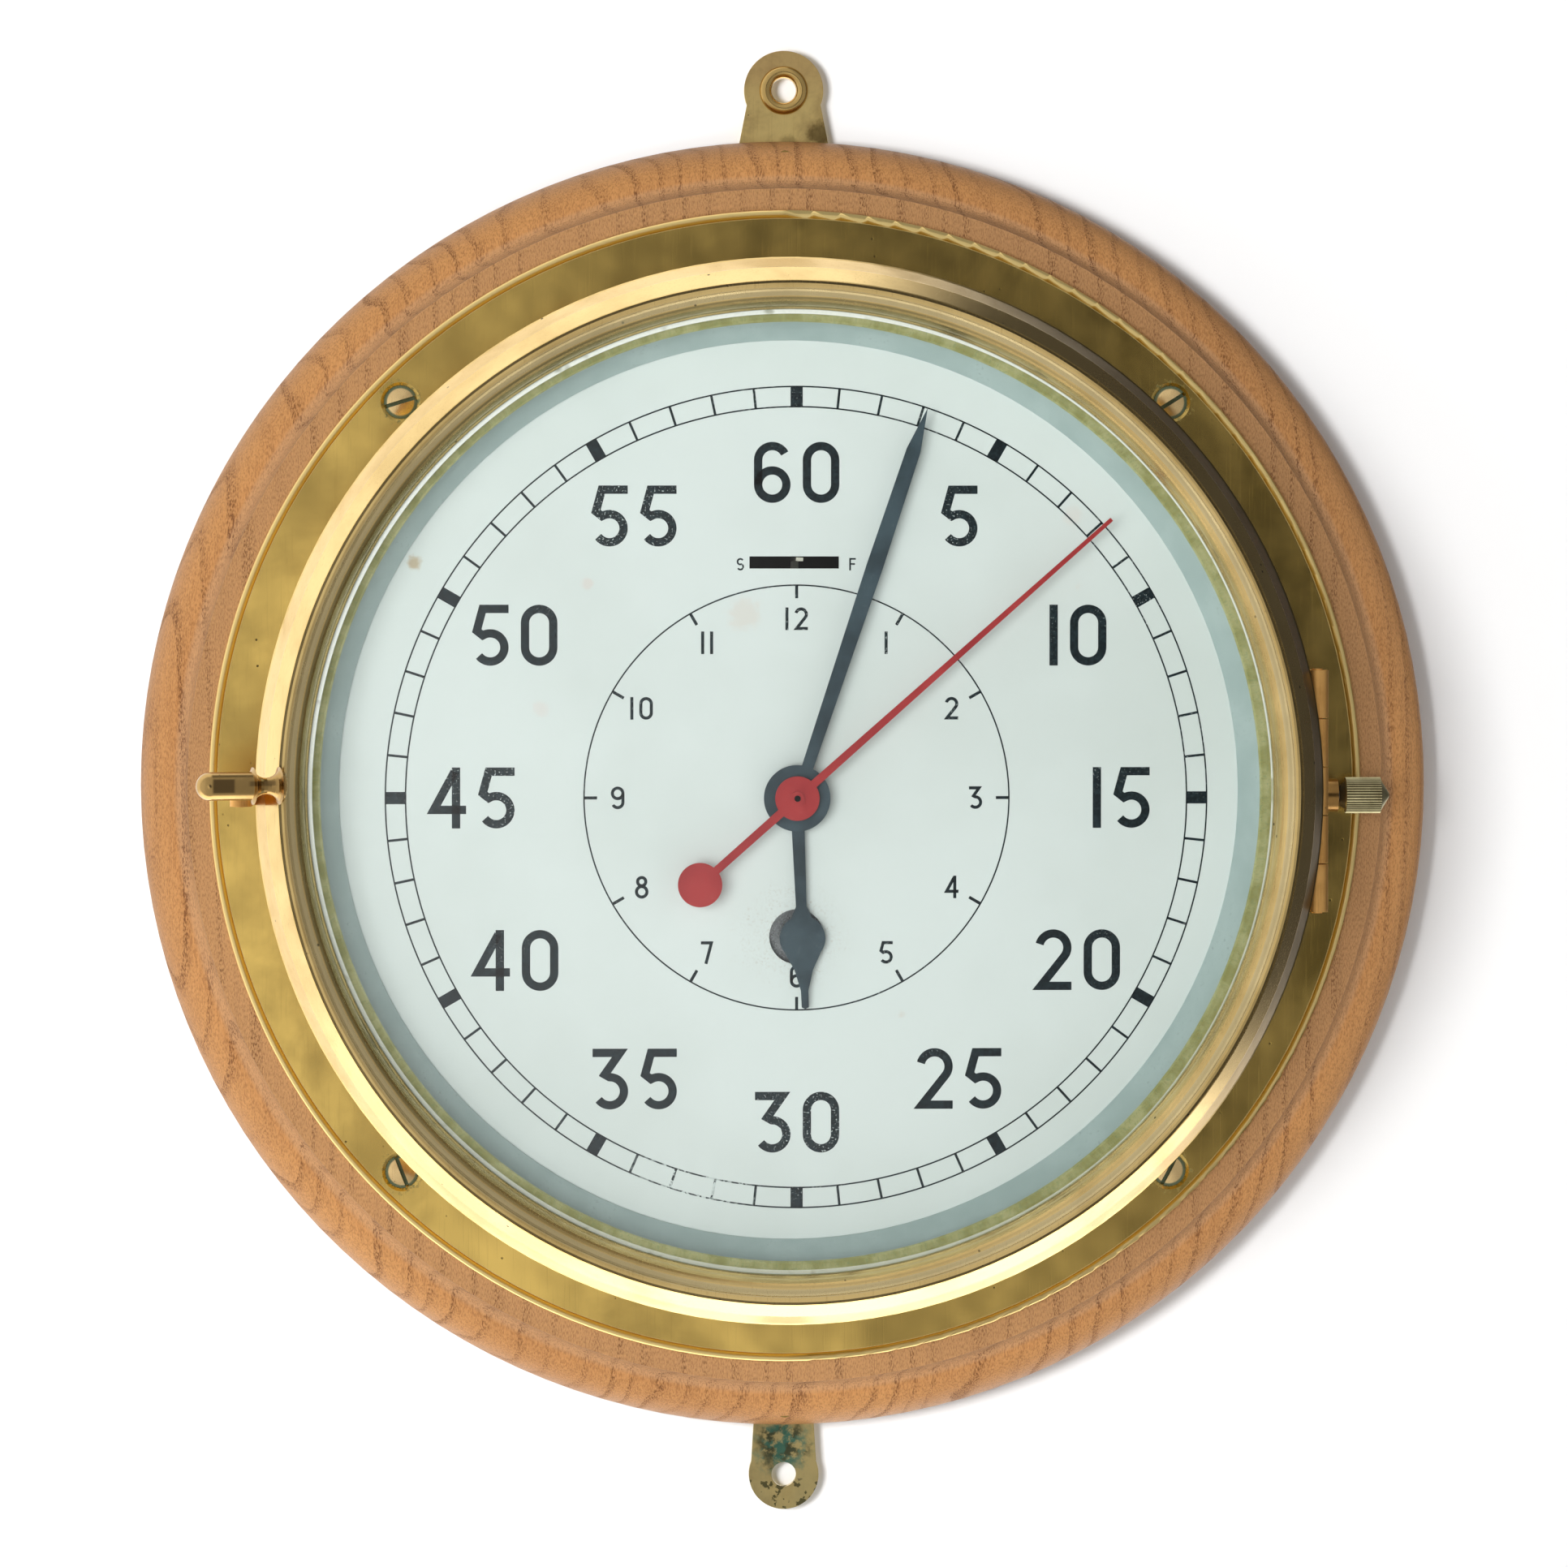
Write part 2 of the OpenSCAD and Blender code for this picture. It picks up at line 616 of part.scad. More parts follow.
module surround_screw_places() {
    for (i = [0 : 2]) rotate(30 + 120 * i) translate([surround_screw_at, 0, surround_seat_z + surround_t])
        children();
}
module surround_ring() {
    color("lightslategray") on_wall() difference() {
        rotate_extrude() polygon([
            [surround_lip_r, surround_seat_z], [surround_lip_r, surround_seat_z + surround_t],
            [sight_r + 0.6, surround_seat_z + surround_t], [surround_r, dial_z + 1],
            [surround_r, dial_z], [surround_r + 1.5, dial_z], [sight_r + 1, surround_seat_z]]);
        surround_screw_places() translate([0, 0, -surround_t - 1])
            cylinder(r = surround_screw_r + fit_gap, h = surround_t + 2);
    }
}
module surround_screws() {
    color("darkgray") on_wall() surround_screw_places() cheese_screw(1.6, 0.9, surround_screw_r, 2.9);
}

// Bezel and glass

module bezel_ring() {
    groove_w = 0.5;
    bead_in = ridge_r - 1.9;
    color("gold") on_wall() rotate_extrude() polygon(concat(
        [[glass_r + 0.3, bezel_z], [bezel_r, bezel_z], [bezel_r, bezel_z + bezel_edge_h - 0.4],
         [bezel_r - 0.3, bezel_z + bezel_edge_h]],
        [[(bezel_r + ridge_r) / 2 + 0.35, (bezel_z + bezel_edge_h + ridge_z) / 2 + 0.25]],
        [[ridge_r + 0.25, ridge_z - 0.25], [ridge_r, ridge_z], [ridge_r - 0.05, ridge_z - 0.5],
         [ridge_r - groove_w, ridge_z - 0.5], [ridge_r - groove_w - 0.05, ridge_z - 0.05],
         [ridge_r - groove_w - 0.6, ridge_z + 0.05], [bead_in + 0.1, ridge_z - 0.15],
         [bead_in, ridge_z - 0.6]],
        arc([bead_in, ridge_z - slope_h], bead_in - sight_r - 0.5, slope_h - 1, 97, 165, 7),
        [[sight_r, ridge_z - slope_h], [sight_r, glass_face_z + 0.05],
         [glass_r + 0.3, glass_face_z + 0.05]]));
}
module glass() {
    bevel_h = glass_t * 0.38;
    color("aliceblue", 0.3) on_wall() rotate_extrude() polygon([
        [0, glass_back_z], [glass_r, glass_back_z], [glass_r, glass_face_z - bevel_h],
        [sight_r + 0.2, glass_face_z - 0.5], [glass_flat_r, glass_face_z], [0, glass_face_z]]);
}
module glass_retaining_ring() {
    color("darkolivegreen") on_wall() rotate_extrude() polygon([
        [retainer_r, glass_back_z - 0.4], [retainer_r + 0.4, glass_back_z],
        [glass_r + 0.25, glass_back_z], [glass_r + 0.25, glass_back_z - retainer_t],
        [retainer_r + 0.6, glass_back_z - retainer_t]]);
}

// Hinge: knuckles 1, 3 and 5 belong to the case, 2 and 4 to the bezel

module knuckle(i, gap) {
    translate([hinge_x, (i - 2.5) * knuckle_len + gap, hinge_z]) rotate([-90, 0, 0])
        cylinder(r = knuckle_r, h = knuckle_len - 2 * gap);
}
module hinge_bore() {
    translate([hinge_x, -hinge_half - 1, hinge_z]) rotate([-90, 0, 0])
        cylinder(r = hinge_pin_r + fit_gap, h = 2 * hinge_half + 2);
}
module hinge_case_leaf() {
    swing_r = knuckle_r + 0.45;
    color("goldenrod") on_wall() difference() {
        union() {
            for (i = [0, 2, 4]) knuckle(i, 0);
            translate([drum_r - 6, -hinge_half, hinge_z - hinge_leaf_h])
                cube([hinge_x - 0.5 - drum_r + 6, 2 * hinge_half, hinge_leaf_h]);
        }
        drum_side();
        for (i = [1, 3]) translate([drum_r - 8, (i - 2.5) * knuckle_len - 0.15, hinge_z - swing_r])
            cube([14, knuckle_len + 0.3, swing_r * 2]);
        hinge_bore();
        side_screw_holes();
    }
}
module hinge_bezel_leaf() {
    color("goldenrod") on_wall() difference() {
        for (i = [1, 3]) {
            knuckle(i, 0.15);
            translate([hinge_x - 1.4, (i - 2.5) * knuckle_len + 0.15, hinge_z])
                cube([bezel_r - hinge_x + 1.4, knuckle_len - 0.3, bezel_z - hinge_z]);
        }
        hinge_bore();
    }
}
module hinge_pin() {
    color("darkgoldenrod") on_wall() translate([hinge_x, -hinge_half - 0.3, hinge_z]) rotate([-90, 0, 0])
        cylinder(r = hinge_pin_r, h = 2 * hinge_half + 0.6);
}
module side_screws() {
    color("khaki") on_wall() {
        hinge_screw_places() flat_screw(side_head_r, side_cone_h, side_screw_r, side_screw_len);
        latch_screw_places() flat_screw(side_head_r, side_cone_h, side_screw_r, latch_screw_len);
    }
}

// Latch: a rocking lever on a block at the side of the drum

module latch_axis(y, h) {
    translate([-latch_pivot_x, y, latch_pivot_z]) rotate([-90, 0, 0]) cylinder(r = h[0], h = h[1]);
}
module latch_block() {
    low_z = hinge_screw_z - 6;
    color("goldenrod") on_wall() difference() {
        union() {
            translate([-latch_pivot_x - latch_block_side, latch_block_low_y, low_z])
                cube([latch_block_side + 12, latch_block_w, latch_pivot_z - low_z]);
            latch_axis(latch_block_low_y, [latch_block_side, latch_block_w]);
        }
        drum_side();
        translate([0, 0, bezel_z - 0.6]) cylinder(r = bezel_r + 0.5, h = 80, $fn = 720);
        latch_axis(latch_block_low_y - 1, [latch_pin_r + fit_gap, latch_block_w + 2]);
        side_screw_holes();
    }
}
module latch_lever() {
    eye_y = latch_block_low_y + latch_block_w + run_gap;
    eye_w = latch_y + latch_r * 0.45 - eye_y;
    barrel_start = latch_len * 0.42;
    color("gold") on_wall() difference() {
        union() {
            translate([-latch_toe_x, latch_y, latch_toe_z]) rotate([0, -90 + latch_tilt, 0])
                rotate_extrude() union() {
                    polygon(concat(
                        [[0, 0], [toe_r - 0.3, 0], [toe_r, 0.3], [toe_r, 0.7]],
                        arc([toe_r + 1, latch_len * 0.24], toe_r + 1 - waist_r, latch_len * 0.24 - 1,
                            262, 98, 10),
                        [[latch_r, barrel_start + 0.4], [latch_r, latch_len], [0, latch_len]]));
                    intersection() {
                        translate([0, latch_len]) circle(latch_r);
                        translate([0, latch_len - eps]) square(latch_r + 1);
                    }
                }
            latch_axis(eye_y, [latch_block_side, eye_w]);
            translate([-latch_pivot_x - latch_block_side, eye_y, latch_pivot_z])
                cube([2 * latch_block_side, eye_w, latch_toe_z - latch_pivot_z + 2]);
        }
        latch_axis(eye_y - 1, [latch_pin_r + fit_gap, eye_w + 2]);
    }
}
module latch_pin() {
    eye_w = latch_y + latch_r * 0.45 - latch_block_low_y;
    color("darkgoldenrod") on_wall() latch_axis(latch_block_low_y - 0.1, [latch_pin_r, eye_w + 0.2]);
}

// Stop knob on its spindle, through a bush in the side of the drum

module stop_bush() {
    color("darkgoldenrod") on_wall() difference() {
        union() {
            difference() {
                stop_axis() translate([0, 0, drum_r - 3])
                    cylinder(r = stop_knob_r * 0.94, h = stop_bush_x - drum_r + 3);
                drum_side();
            }
            stop_axis() translate([0, 0, drum_r - drum_t - 3])
                cylinder(r = stop_bush_r, h = stop_bush_x - drum_r + drum_t);
        }
        stop_axis() translate([0, 0, drum_r - 20]) cylinder(r = stop_spindle_r + fit_gap, h = 40);
    }
}
module stop_knob() {
    ridges = 40;
    neck_h = stop_neck - run_gap + eps;
    color("darkkhaki") on_wall() stop_axis() translate([0, 0, stop_bush_x + stop_neck]) difference() {
        union() {
            linear_extrude(stop_knob_len) polygon([for (i = [0 : 2 * ridges - 1])
                let (r = stop_knob_r - (i % 2) * 0.22, a = 180 * i / ridges) [r * cos(a), r * sin(a)]]);
            translate([0, 0, stop_knob_len]) cylinder(r1 = stop_knob_r - 0.25, r2 = 0.5, h = 2);
            translate([0, 0, run_gap - stop_neck])
                cylinder(r1 = stop_spindle_r + 0.7, r2 = stop_knob_r * 0.8, h = neck_h);
        }
        translate([0, 0, -stop_neck - 1]) cylinder(r = stop_spindle_r, h = stop_socket + stop_neck + 1);
    }
}
module stop_spindle() {
    inner_x = plate_r + movement_x + 1.2;
    color("silver") on_wall() stop_axis() {
        translate([0, 0, inner_x])
            cylinder(r = stop_spindle_r, h = stop_bush_x + stop_neck + stop_socket - inner_x);
        translate([0, 0, inner_x]) cylinder(r = stop_spindle_r + 1.2, h = 2);
    }
}

// Dial

module dial_plate() {
    color("whitesmoke") on_wall() translate([0, 0, dial_z - dial_t]) linear_extrude(dial_t) difference() {
        circle(dial_r);
        translate([movement_x, movement_y]) {
            circle(hour_pipe_r + 1);
            translate(barrel_at) circle(winding_hole_r);
            translate([slot_x, slot_y]) square([slot_len, slot_h], center = true);
        }
    }
}
module dial_feet() {
    color("darkgoldenrod") on_movement() for (p = dial_feet_at) at(p, front_face_z)
        rotate_extrude() polygon([[0, 0], [2.4, 0], [2.4, 0.8], [1.6, 1.6],
            [1.6, dial_z - dial_t - front_face_z - 1.2], [2.6, dial_z - dial_t - front_face_z],
            [0, dial_z - dial_t - front_face_z]]);
}

// Frame of the movement

module pillar_places(z) {
    for (a = pillar_angles) at(plate_at + pillar_at_r * [cos(a), sin(a)], z) children();
}
module plate_blank() {
    linear_extrude(plate_t) difference() {
        translate(plate_at) circle(plate_r);
        for (a = pillar_angles) translate(plate_at + pillar_at_r * [cos(a), sin(a)]) circle(1.6);
        translate(barrel_at) circle(barrel_arbor_r + fit_gap);
        for (p = [intermediate_at, third_at]) translate(p) circle(small_pivot_r + 0.2 + fit_gap);
        children();
    }
}
module back_plate() {
    color("goldenrod") on_movement() at([0, 0], back_plate_z) plate_blank() {
        circle(seconds_arbor_r + fit_gap);
        translate(escape_at) circle(small_pivot_r + 0.1 + fit_gap);
        translate(lever_at) circle(small_pivot_r + fit_gap);
        translate(balance_at) circle(small_pivot_r + fit_gap);
        translate(bridge_foot_at) circle(0.9);
        translate(cock_foot_at) circle(0.9);
    }
}
module front_plate() {
    color("goldenrod") on_movement() at([0, 0], front_plate_z) plate_blank() {
        circle(centre_pipe_r + fit_gap);
        translate(escape_at) circle(small_pivot_r + fit_gap);
    }
}
module plate_pillars() {
    color("gold") on_movement() pillar_places(back_face_z) rotate_extrude() polygon([
        [1.6, 0], [3.6, 0], [3.6, 1.4], [2.8, 2.4], [2.8, pillar_len - 2.4], [3.6, pillar_len - 1.4],
        [3.6, pillar_len], [1.6, pillar_len]]);
}
module pillar_screws() {
    color("steelblue") on_movement() pillar_places(front_face_z)
        cheese_screw(3, 1.6, 1.5, front_face_z - pan_floor_z - 4);
}
module movement_posts() {
    color("darkgoldenrod") on_movement() pillar_places(pan_floor_z) difference() {
        cylinder(r = 4, h = back_plate_z - pan_floor_z);
        translate([0, 0, 3]) cylinder(r = 1.55, h = back_plate_z);
    }
}

// Power: barrel, mainspring, winding arbor, ratchet and click

module barrel() {
    color("goldenrod") on_movement() at(barrel_at) difference() {
        union() {
            translate([0, 0, great_z]) rotate(bearing(barrel_at, intermediate_at))
                linear_extrude(great_t) polygon(gear_points(great_teeth, great_module, WHEEL_FORM));
            translate([0, 0, barrel_z - eps]) cylinder(r = barrel_r, h = barrel_h + eps);
        }
        translate([0, 0, barrel_z]) cylinder(r = barrel_r - barrel_wall, h = barrel_h + 1);
        translate([0, 0, great_z - 1]) cylinder(r = barrel_arbor_r + fit_gap, h = 5);
    }
}
module barrel_cover() {
    color("gold") on_movement() at(barrel_at, barrel_z + barrel_h - 1) difference() {
        cylinder(r = barrel_r - barrel_wall - 0.02, h = 1);
        translate([0, 0, -1]) cylinder(r = barrel_arbor_r + fit_gap, h = 3);
    }
}

// A flat coil from radius r0 to r1: the outer edge out, then the inner edge back
function coil_edge(r0, r1, turns, n, steps) =
    [for (i = steps) let (a = 360 * i / n, r = r0 + (r1 - r0) * i / (n * turns)) [r * cos(a), r * sin(a)]];
function coil_points(r0, r1, turns, t, n) = concat(
    coil_edge(r0 + t / 2, r1 + t / 2, turns, n, [0 : n * turns]),
    coil_edge(r0 - t / 2, r1 - t / 2, turns, n, [n * turns : -1 : 0]));

module mainspring() {
    hub_r = barrel_arbor_r + 1;
    color("slategray") on_movement() at(barrel_at, barrel_z + 0.4) linear_extrude(barrel_h - 2)
        polygon(coil_points(hub_r + 0.5, barrel_r - barrel_wall - 0.5, 7, 0.5, 20));
}
module winding_arbor() {
    color("silver") on_movement() at(barrel_at) {
        translate([0, 0, back_plate_z]) cylinder(r = barrel_arbor_r, h = front_face_z + 0.2 - back_plate_z);
        translate([0, 0, barrel_z + 0.4]) cylinder(r = barrel_arbor_r + 1, h = barrel_h - 2);
        translate([-square_w / 2, -square_w / 2, front_face_z])
            cube([square_w, square_w, square_end_z - front_face_z]);
    }
}
module ratchet_wheel() {
    step = 360 / ratchet_teeth;
    color("silver") on_movement() at(barrel_at, motion_z) linear_extrude(ratchet_t) difference() {
        polygon([for (k = [0 : ratchet_teeth - 1], e = [0, 1])
            let (r = ratchet_r - ratchet_tooth * e, a = step * (k + 0.08 * e)) [r * cos(a), r * sin(a)]]);
        square(square_w + 2 * 0.02, center = true);
    }
}
module click() {
    color("lightslategray") on_movement() at(click_at, motion_z) rotate(click_lean)
        linear_extrude(ratchet_t)
        difference() {
            union() {
                circle(2.2);
                polygon([[0, -1.6], [click_len * 0.6, -0.5], [click_len, 0],
                         [click_len * 0.8, 0.8], [0, 2.2]]);
                translate([-click_tail, -0.8]) square([click_tail, 1.6]);
            }
            circle(1 + fit_gap);
        }
}
module click_screw() {
    color("steelblue") on_movement() at(click_at, front_face_z) {
        cylinder(r = 1, h = run_gap + ratchet_t + 0.1);
        translate([0, 0, run_gap + ratchet_t + 0.1]) cheese_screw(1.9, 1, 1, 0.1);
    }
}
module click_spring() {
    foot = click_at + [-9.5, -5];
    tip = click_at + [-2.9, -2.3];
    color("slategray") on_movement() {
        at(foot, front_face_z) cylinder(r = 1.8, h = ratchet_t + run_gap);
        at([0, 0], motion_z) bar(foot, tip, 0.5, ratchet_t);
    }
}

// Going train

module intermediate_wheel() {
    color("gold") on_movement() at(intermediate_at) {
        arbor(1, small_pivot_r + 0.2);
        translate([0, 0, back_face_z + 0.4])
            pinion(intermediate_leaves, great_module, bearing(intermediate_at, barrel_at), great_t + 0.8);
        translate([0, 0, intermediate_wheel_z]) crossed_wheel(intermediate_teeth, intermediate_module,
            bearing(intermediate_at, [0, 0]), wheel_t, 2.6, 5, 1.4);
    }
}
module centre_wheel() {
    top = minute_hand_z - 4;
    color("gold") on_movement() difference() {
        union() {
            translate([0, 0, centre_wheel_z - 1]) cylinder(r = centre_pipe_r, h = top - centre_wheel_z + 1);
            translate([0, 0, centre_wheel_z])
                crossed_wheel(centre_teeth, centre_module, bearing([0, 0], third_at), wheel_t, 2.8, 5, 1.3);
            translate([0, 0, centre_pinion_z]) pinion(centre_leaves, intermediate_module,
                bearing([0, 0], intermediate_at), front_plate_z - 0.3 - centre_pinion_z);
        }
        translate([0, 0, centre_wheel_z - 2])
            cylinder(r = seconds_arbor_r + 0.08, h = minute_hand_z - centre_wheel_z);
    }
}
module third_wheel() {
    color("gold") on_movement() at(third_at) {
        arbor(0.8, small_pivot_r + 0.2);
        translate([0, 0, third_pinion_z])
            pinion(third_leaves, centre_module, bearing(third_at, [0, 0]), 2.4);
        translate([0, 0, third_wheel_z]) crossed_wheel(third_teeth, third_module,
            bearing(third_at, [0, 0]), wheel_t, 2.2, 5, 1.2);
    }
}
module seconds_wheel() {
    color("gold") on_movement() {
        translate([0, 0, back_plate_z])
            cylinder(r = seconds_arbor_r, h = seconds_hand_z + 1.3 - back_plate_z);
        translate([0, 0, seconds_pinion_z])
            pinion(seconds_leaves, third_module, bearing([0, 0], third_at), 2.4);
        translate([0, 0, seconds_wheel_z]) crossed_wheel(seconds_teeth, seconds_module,
            bearing([0, 0], escape_at), wheel_t, 2.2, 5, 1.2);
    }
}

// Escapement, balance and regulator, behind the back plate

module escape_wheel() {
    step = 360 / escape_teeth;
    color("silver") on_movement() at(escape_at) {
        translate([0, 0, bridge_z]) cylinder(r = small_pivot_r, h = pivot_top_z - bridge_z);
        translate([0, 0, bridge_z + bridge_t + 0.2])
            cylinder(r = small_pivot_r + 0.1, h = front_plate_z - bridge_z - bridge_t - 0.4);
        translate([0, 0, seconds_wheel_z - 0.6])
            pinion(escape_leaves, seconds_module, bearing(escape_at, [0, 0]), 2);
        translate([0, 0, escape_z]) linear_extrude(wheel_t) difference() {
            polygon([for (k = [0 : escape_teeth - 1], e = [0, 1, 2])
                let (r = e == 0 ? escape_r : escape_r * 0.78, a = step * (k + [0, 0.22, 0.8][e]))
                [r * cos(a), r * sin(a)]]);
            difference() {
                circle(escape_r * 0.62);
                circle(1.2);
                for (i = [0 : 3]) rotate(90 * i) translate([0, -0.35]) square([escape_r, 0.7]);
            }
        }
    }
}
module pallet_lever() {
    to_escape = -to_balance;
    turn = atan2(to_escape[1], to_escape[0]);
    fork = norm(balance_at - lever_at) - impulse_r - impulse_pin_r - 0.12;
    pallet_in = escape_r + 0.36;
    color("silver") on_movement() {
        at(lever_at, bridge_z) cylinder(r = small_pivot_r, h = back_face_z - bridge_z);
        at(lever_at, escape_z) linear_extrude(wheel_t) {
            circle(1.1);
            rotate(turn + 180) polygon([[0, -0.5], [fork - 1, -0.45], [fork, -1], [fork, 1],
                [fork - 1, 0.45], [0, 0.5]]);
            for (s = [-1, 1]) {
                tip = [lever_reach - pallet_in * cos(32), s * pallet_in * sin(32)];
                rotate(turn) polygon([[0, -s * 0.5], [tip[0] - 1.5, s * (abs(tip[1]) + 0.5)],
                    [tip[0] - 0.2, s * (abs(tip[1]) + 0.7)], tip, [tip[0] - 1.1, s * (abs(tip[1]) - 0.7)],
                    [0.9, s * 0.4]]);
            }
        }
    }
}
module escapement_bridge() {
    color("goldenrod") on_movement() difference() {
        union() {
            at([0, 0], bridge_z) bar(escape_at, bridge_foot_at, 3.4, bridge_t);
            at([0, 0], bridge_z) bar(escape_at, lever_at, 3, bridge_t);
            at(bridge_foot_at, bridge_z) cylinder(r = 2.4, h = back_plate_z - bridge_z);
        }
        for (p = [escape_at, lever_at]) at(p, bridge_z - 1) cylinder(r = small_pivot_r + fit_gap, h = 3);
        at(bridge_foot_at, bridge_z - 1) cylinder(r = 0.9, h = 8);
        at(bridge_foot_at, bridge_z - 1) cylinder(r = 1.65, h = 2);
    }
}
module balance_wheel() {
    rim_w = 1.2;
    screws = 10;
    pin_at = balance_at - impulse_r * to_balance;
    color("gold") on_movement() {
        at(balance_at, balance_z) {
            linear_extrude(balance_t) difference() {
                circle(balance_r);
                difference() {
                    circle(balance_r - rim_w);
                    circle(1.6);
                    for (i = [0 : 2]) rotate(90 + 120 * i)
                        translate([0, -0.6]) square([balance_r - 0.5, 1.2]);
                }
            }
            for (i = [0 : screws - 1]) rotate(360 * i / screws)
                translate([balance_r - 0.3, 0, balance_t / 2])
                    rotate([0, 90, 0]) cylinder(r = 0.45, h = 1);
        }
        at(balance_at, cock_z + 0.1) cylinder(r = small_pivot_r, h = back_face_z - cock_z - 0.1);
        at(balance_at, bridge_z + 0.7) cylinder(r = impulse_r + 0.6, h = 0.6);
        at(pin_at, bridge_z + 0.7) cylinder(r = impulse_pin_r, h = escape_z + wheel_t - bridge_z - 0.7);
    }
}
module balance_cock() {
    color("goldenrod") on_movement() difference() {
        union() {
            at([0, 0], cock_z) bar(balance_at, cock_foot_at, 5, cock_t);
            at(cock_foot_at, cock_z) cylinder(r = 3, h = back_plate_z - cock_z);
            at(balance_at + [6.2, 0], cock_z) cylinder(r = 0.5, h = hairspring_z + 0.6 - cock_z);
            at([0, 0], cock_z) bar(balance_at, balance_at + [6.2, 0], 1.6, cock_t);
            at(balance_at, index_z - 0.3) cylinder(r = index_boss_r, h = cock_z - index_z + 0.3 + eps);
        }
        at(balance_at, cock_z) cylinder(r = small_pivot_r + fit_gap, h = 4);
        at(cock_foot_at, cock_z - 1) cylinder(r = 0.9, h = 20);
        at(cock_foot_at, cock_z - 1) cylinder(r = 1.65, h = 2.2);
    }
}
module cock_screws() {
    color("steelblue") on_movement()
        for (s = [[cock_foot_at, cock_z + 1.2], [bridge_foot_at, bridge_z + 1]]) at(s[0], s[1])
            rotate([180, 0, 0]) cheese_screw(1.6, 0.9, 0.85, back_face_z - s[1] - 0.2);
}
module hairspring() {
    color("steelblue") on_movement() at(balance_at, hairspring_z) linear_extrude(0.5) {
        polygon(coil_points(hairspring_hub_r, hairspring_r, 7, 0.16, 18));
        difference() {
            circle(hairspring_hub_r);
            circle(small_pivot_r);
        }
    }
}
module regulator_index() {
    color("khaki") on_movement() at(balance_at, index_z) rotate(-index_angle) {
        linear_extrude(index_t) difference() {
            union() {
                circle(2.6);
                translate([-0.9, 0]) square([1.8, index_reach + 0.4]);
                rotate(180) translate([-0.7, 0]) square([1.4, index_tail]);
            }
            circle(index_boss_r + fit_gap);
        }
        translate([-0.8, index_reach - 0.4, 0]) cube([1.6, 0.8, dial_z + 0.4 - index_z]);
    }
}

// Motion work and hands

module cannon_pinion() {
    color("silver") on_movement() difference() {
        union() {
            translate([0, 0, motion_z])
                cylinder(r = cannon_pipe_r, h = minute_hand_z + hand_t + 0.4 - motion_z);
            translate([0, 0, motion_z])
                pinion(cannon_leaves, cannon_module, bearing([0, 0], minute_post_at), 1.7);
        }
        translate([0, 0, motion_z - 1]) cylinder(r = centre_pipe_r + 0.01, h = 30);
    }
}
module minute_wheel() {
    color("gold") on_movement() at(minute_post_at, motion_z) difference() {
        union() {
            translate([0, 0, 0.4]) crossed_wheel(minute_teeth, cannon_module, 180, wheel_t, 3.4, 4, 1.4);
            translate([0, 0, 0.4]) pinion(minute_leaves, hour_module, 180, 3.4);
        }
        translate([0, 0, -1]) cylinder(r = 0.9 + fit_gap, h = 6);
    }
}
module minute_wheel_post() {
    color("silver") on_movement() at(minute_post_at, front_face_z) {
        cylinder(r = 0.9, h = 4.6);
        cylinder(r = 1.8, h = 0.5);
        translate([0, 0, 4.3]) cylinder(r = 1.5, h = 0.6);
    }
}
module hour_wheel() {
    color("gold") on_movement() difference() {
        union() {
            translate([0, 0, hour_wheel_z])
                crossed_wheel(hour_teeth, hour_module, bearing([0, 0], minute_post_at),
                              wheel_t, 4.6, 4, 1.6);
            translate([0, 0, hour_wheel_z - 0.2])
                cylinder(r = hour_pipe_r, h = hour_hand_z + hand_t + 0.4 - hour_wheel_z);
        }
        translate([0, 0, hour_wheel_z - 1]) cylinder(r = cannon_pipe_r + 0.06, h = 20);
    }
}
module hour_hand() {
    stem_end = 24.5;
    spade_at = 31.7;
    half = spade_w / 2;
    spade_side = [[1.5, 3.6], [1.2, stem_end], [half * 0.5, spade_at - half * 0.8],
        [half * 0.9, spade_at], [half * 0.8, spade_at + half * 0.6], [half * 0.4, spade_at + half * 1.4],
        [0.85, spade_at + half * 2.3], [0.8, hour_len - 0.4]];
    color("darkslategray") on_movement() at([0, 0], hour_hand_z) clockwise(hour_angle)
        linear_extrude(hand_t) difference() {
            union() {
                circle(hour_pipe_r + 3);
                polygon(concat(spade_side, [[0, hour_len]],
                    [for (i = [len(spade_side) - 1 : -1 : 0]) [-spade_side[i][0], spade_side[i][1]]]));
                translate([0, spade_at]) circle(half);
            }
            circle(hour_pipe_r + 0.01);
        }
}
module minute_hand() {
    half = minute_w / 2;
    color("darkslategray") on_movement() at([0, 0], minute_hand_z) clockwise(minute_angle)
        linear_extrude(hand_t) difference() {
            union() {
                circle(7.5);
                polygon([[-1.3, 5], [1.3, 5], [half, 55], [half * 0.86, minute_len - 10],
                    [0, minute_len], [-half * 0.86, minute_len - 10], [-half, 55]]);
            }
            circle(cannon_pipe_r + 0.01);
        }
}
module seconds_hand() {
    color("indianred") on_movement() at([0, 0], seconds_hand_z) clockwise(seconds_angle) difference() {
        union() {
            linear_extrude(0.5) {
                polygon([[-0.9, -tail_len], [0.9, -tail_len], [0.95, 0], [0.45, seconds_len],
                    [-0.45, seconds_len], [-0.95, 0]]);
                translate([0, -tail_len]) circle(tail_r);
                circle(5);
            }
            cylinder(r = 1.6, h = 1);
        }
        translate([0, 0, -1]) cylinder(r = seconds_arbor_r + 0.01, h = 4);
    }
}

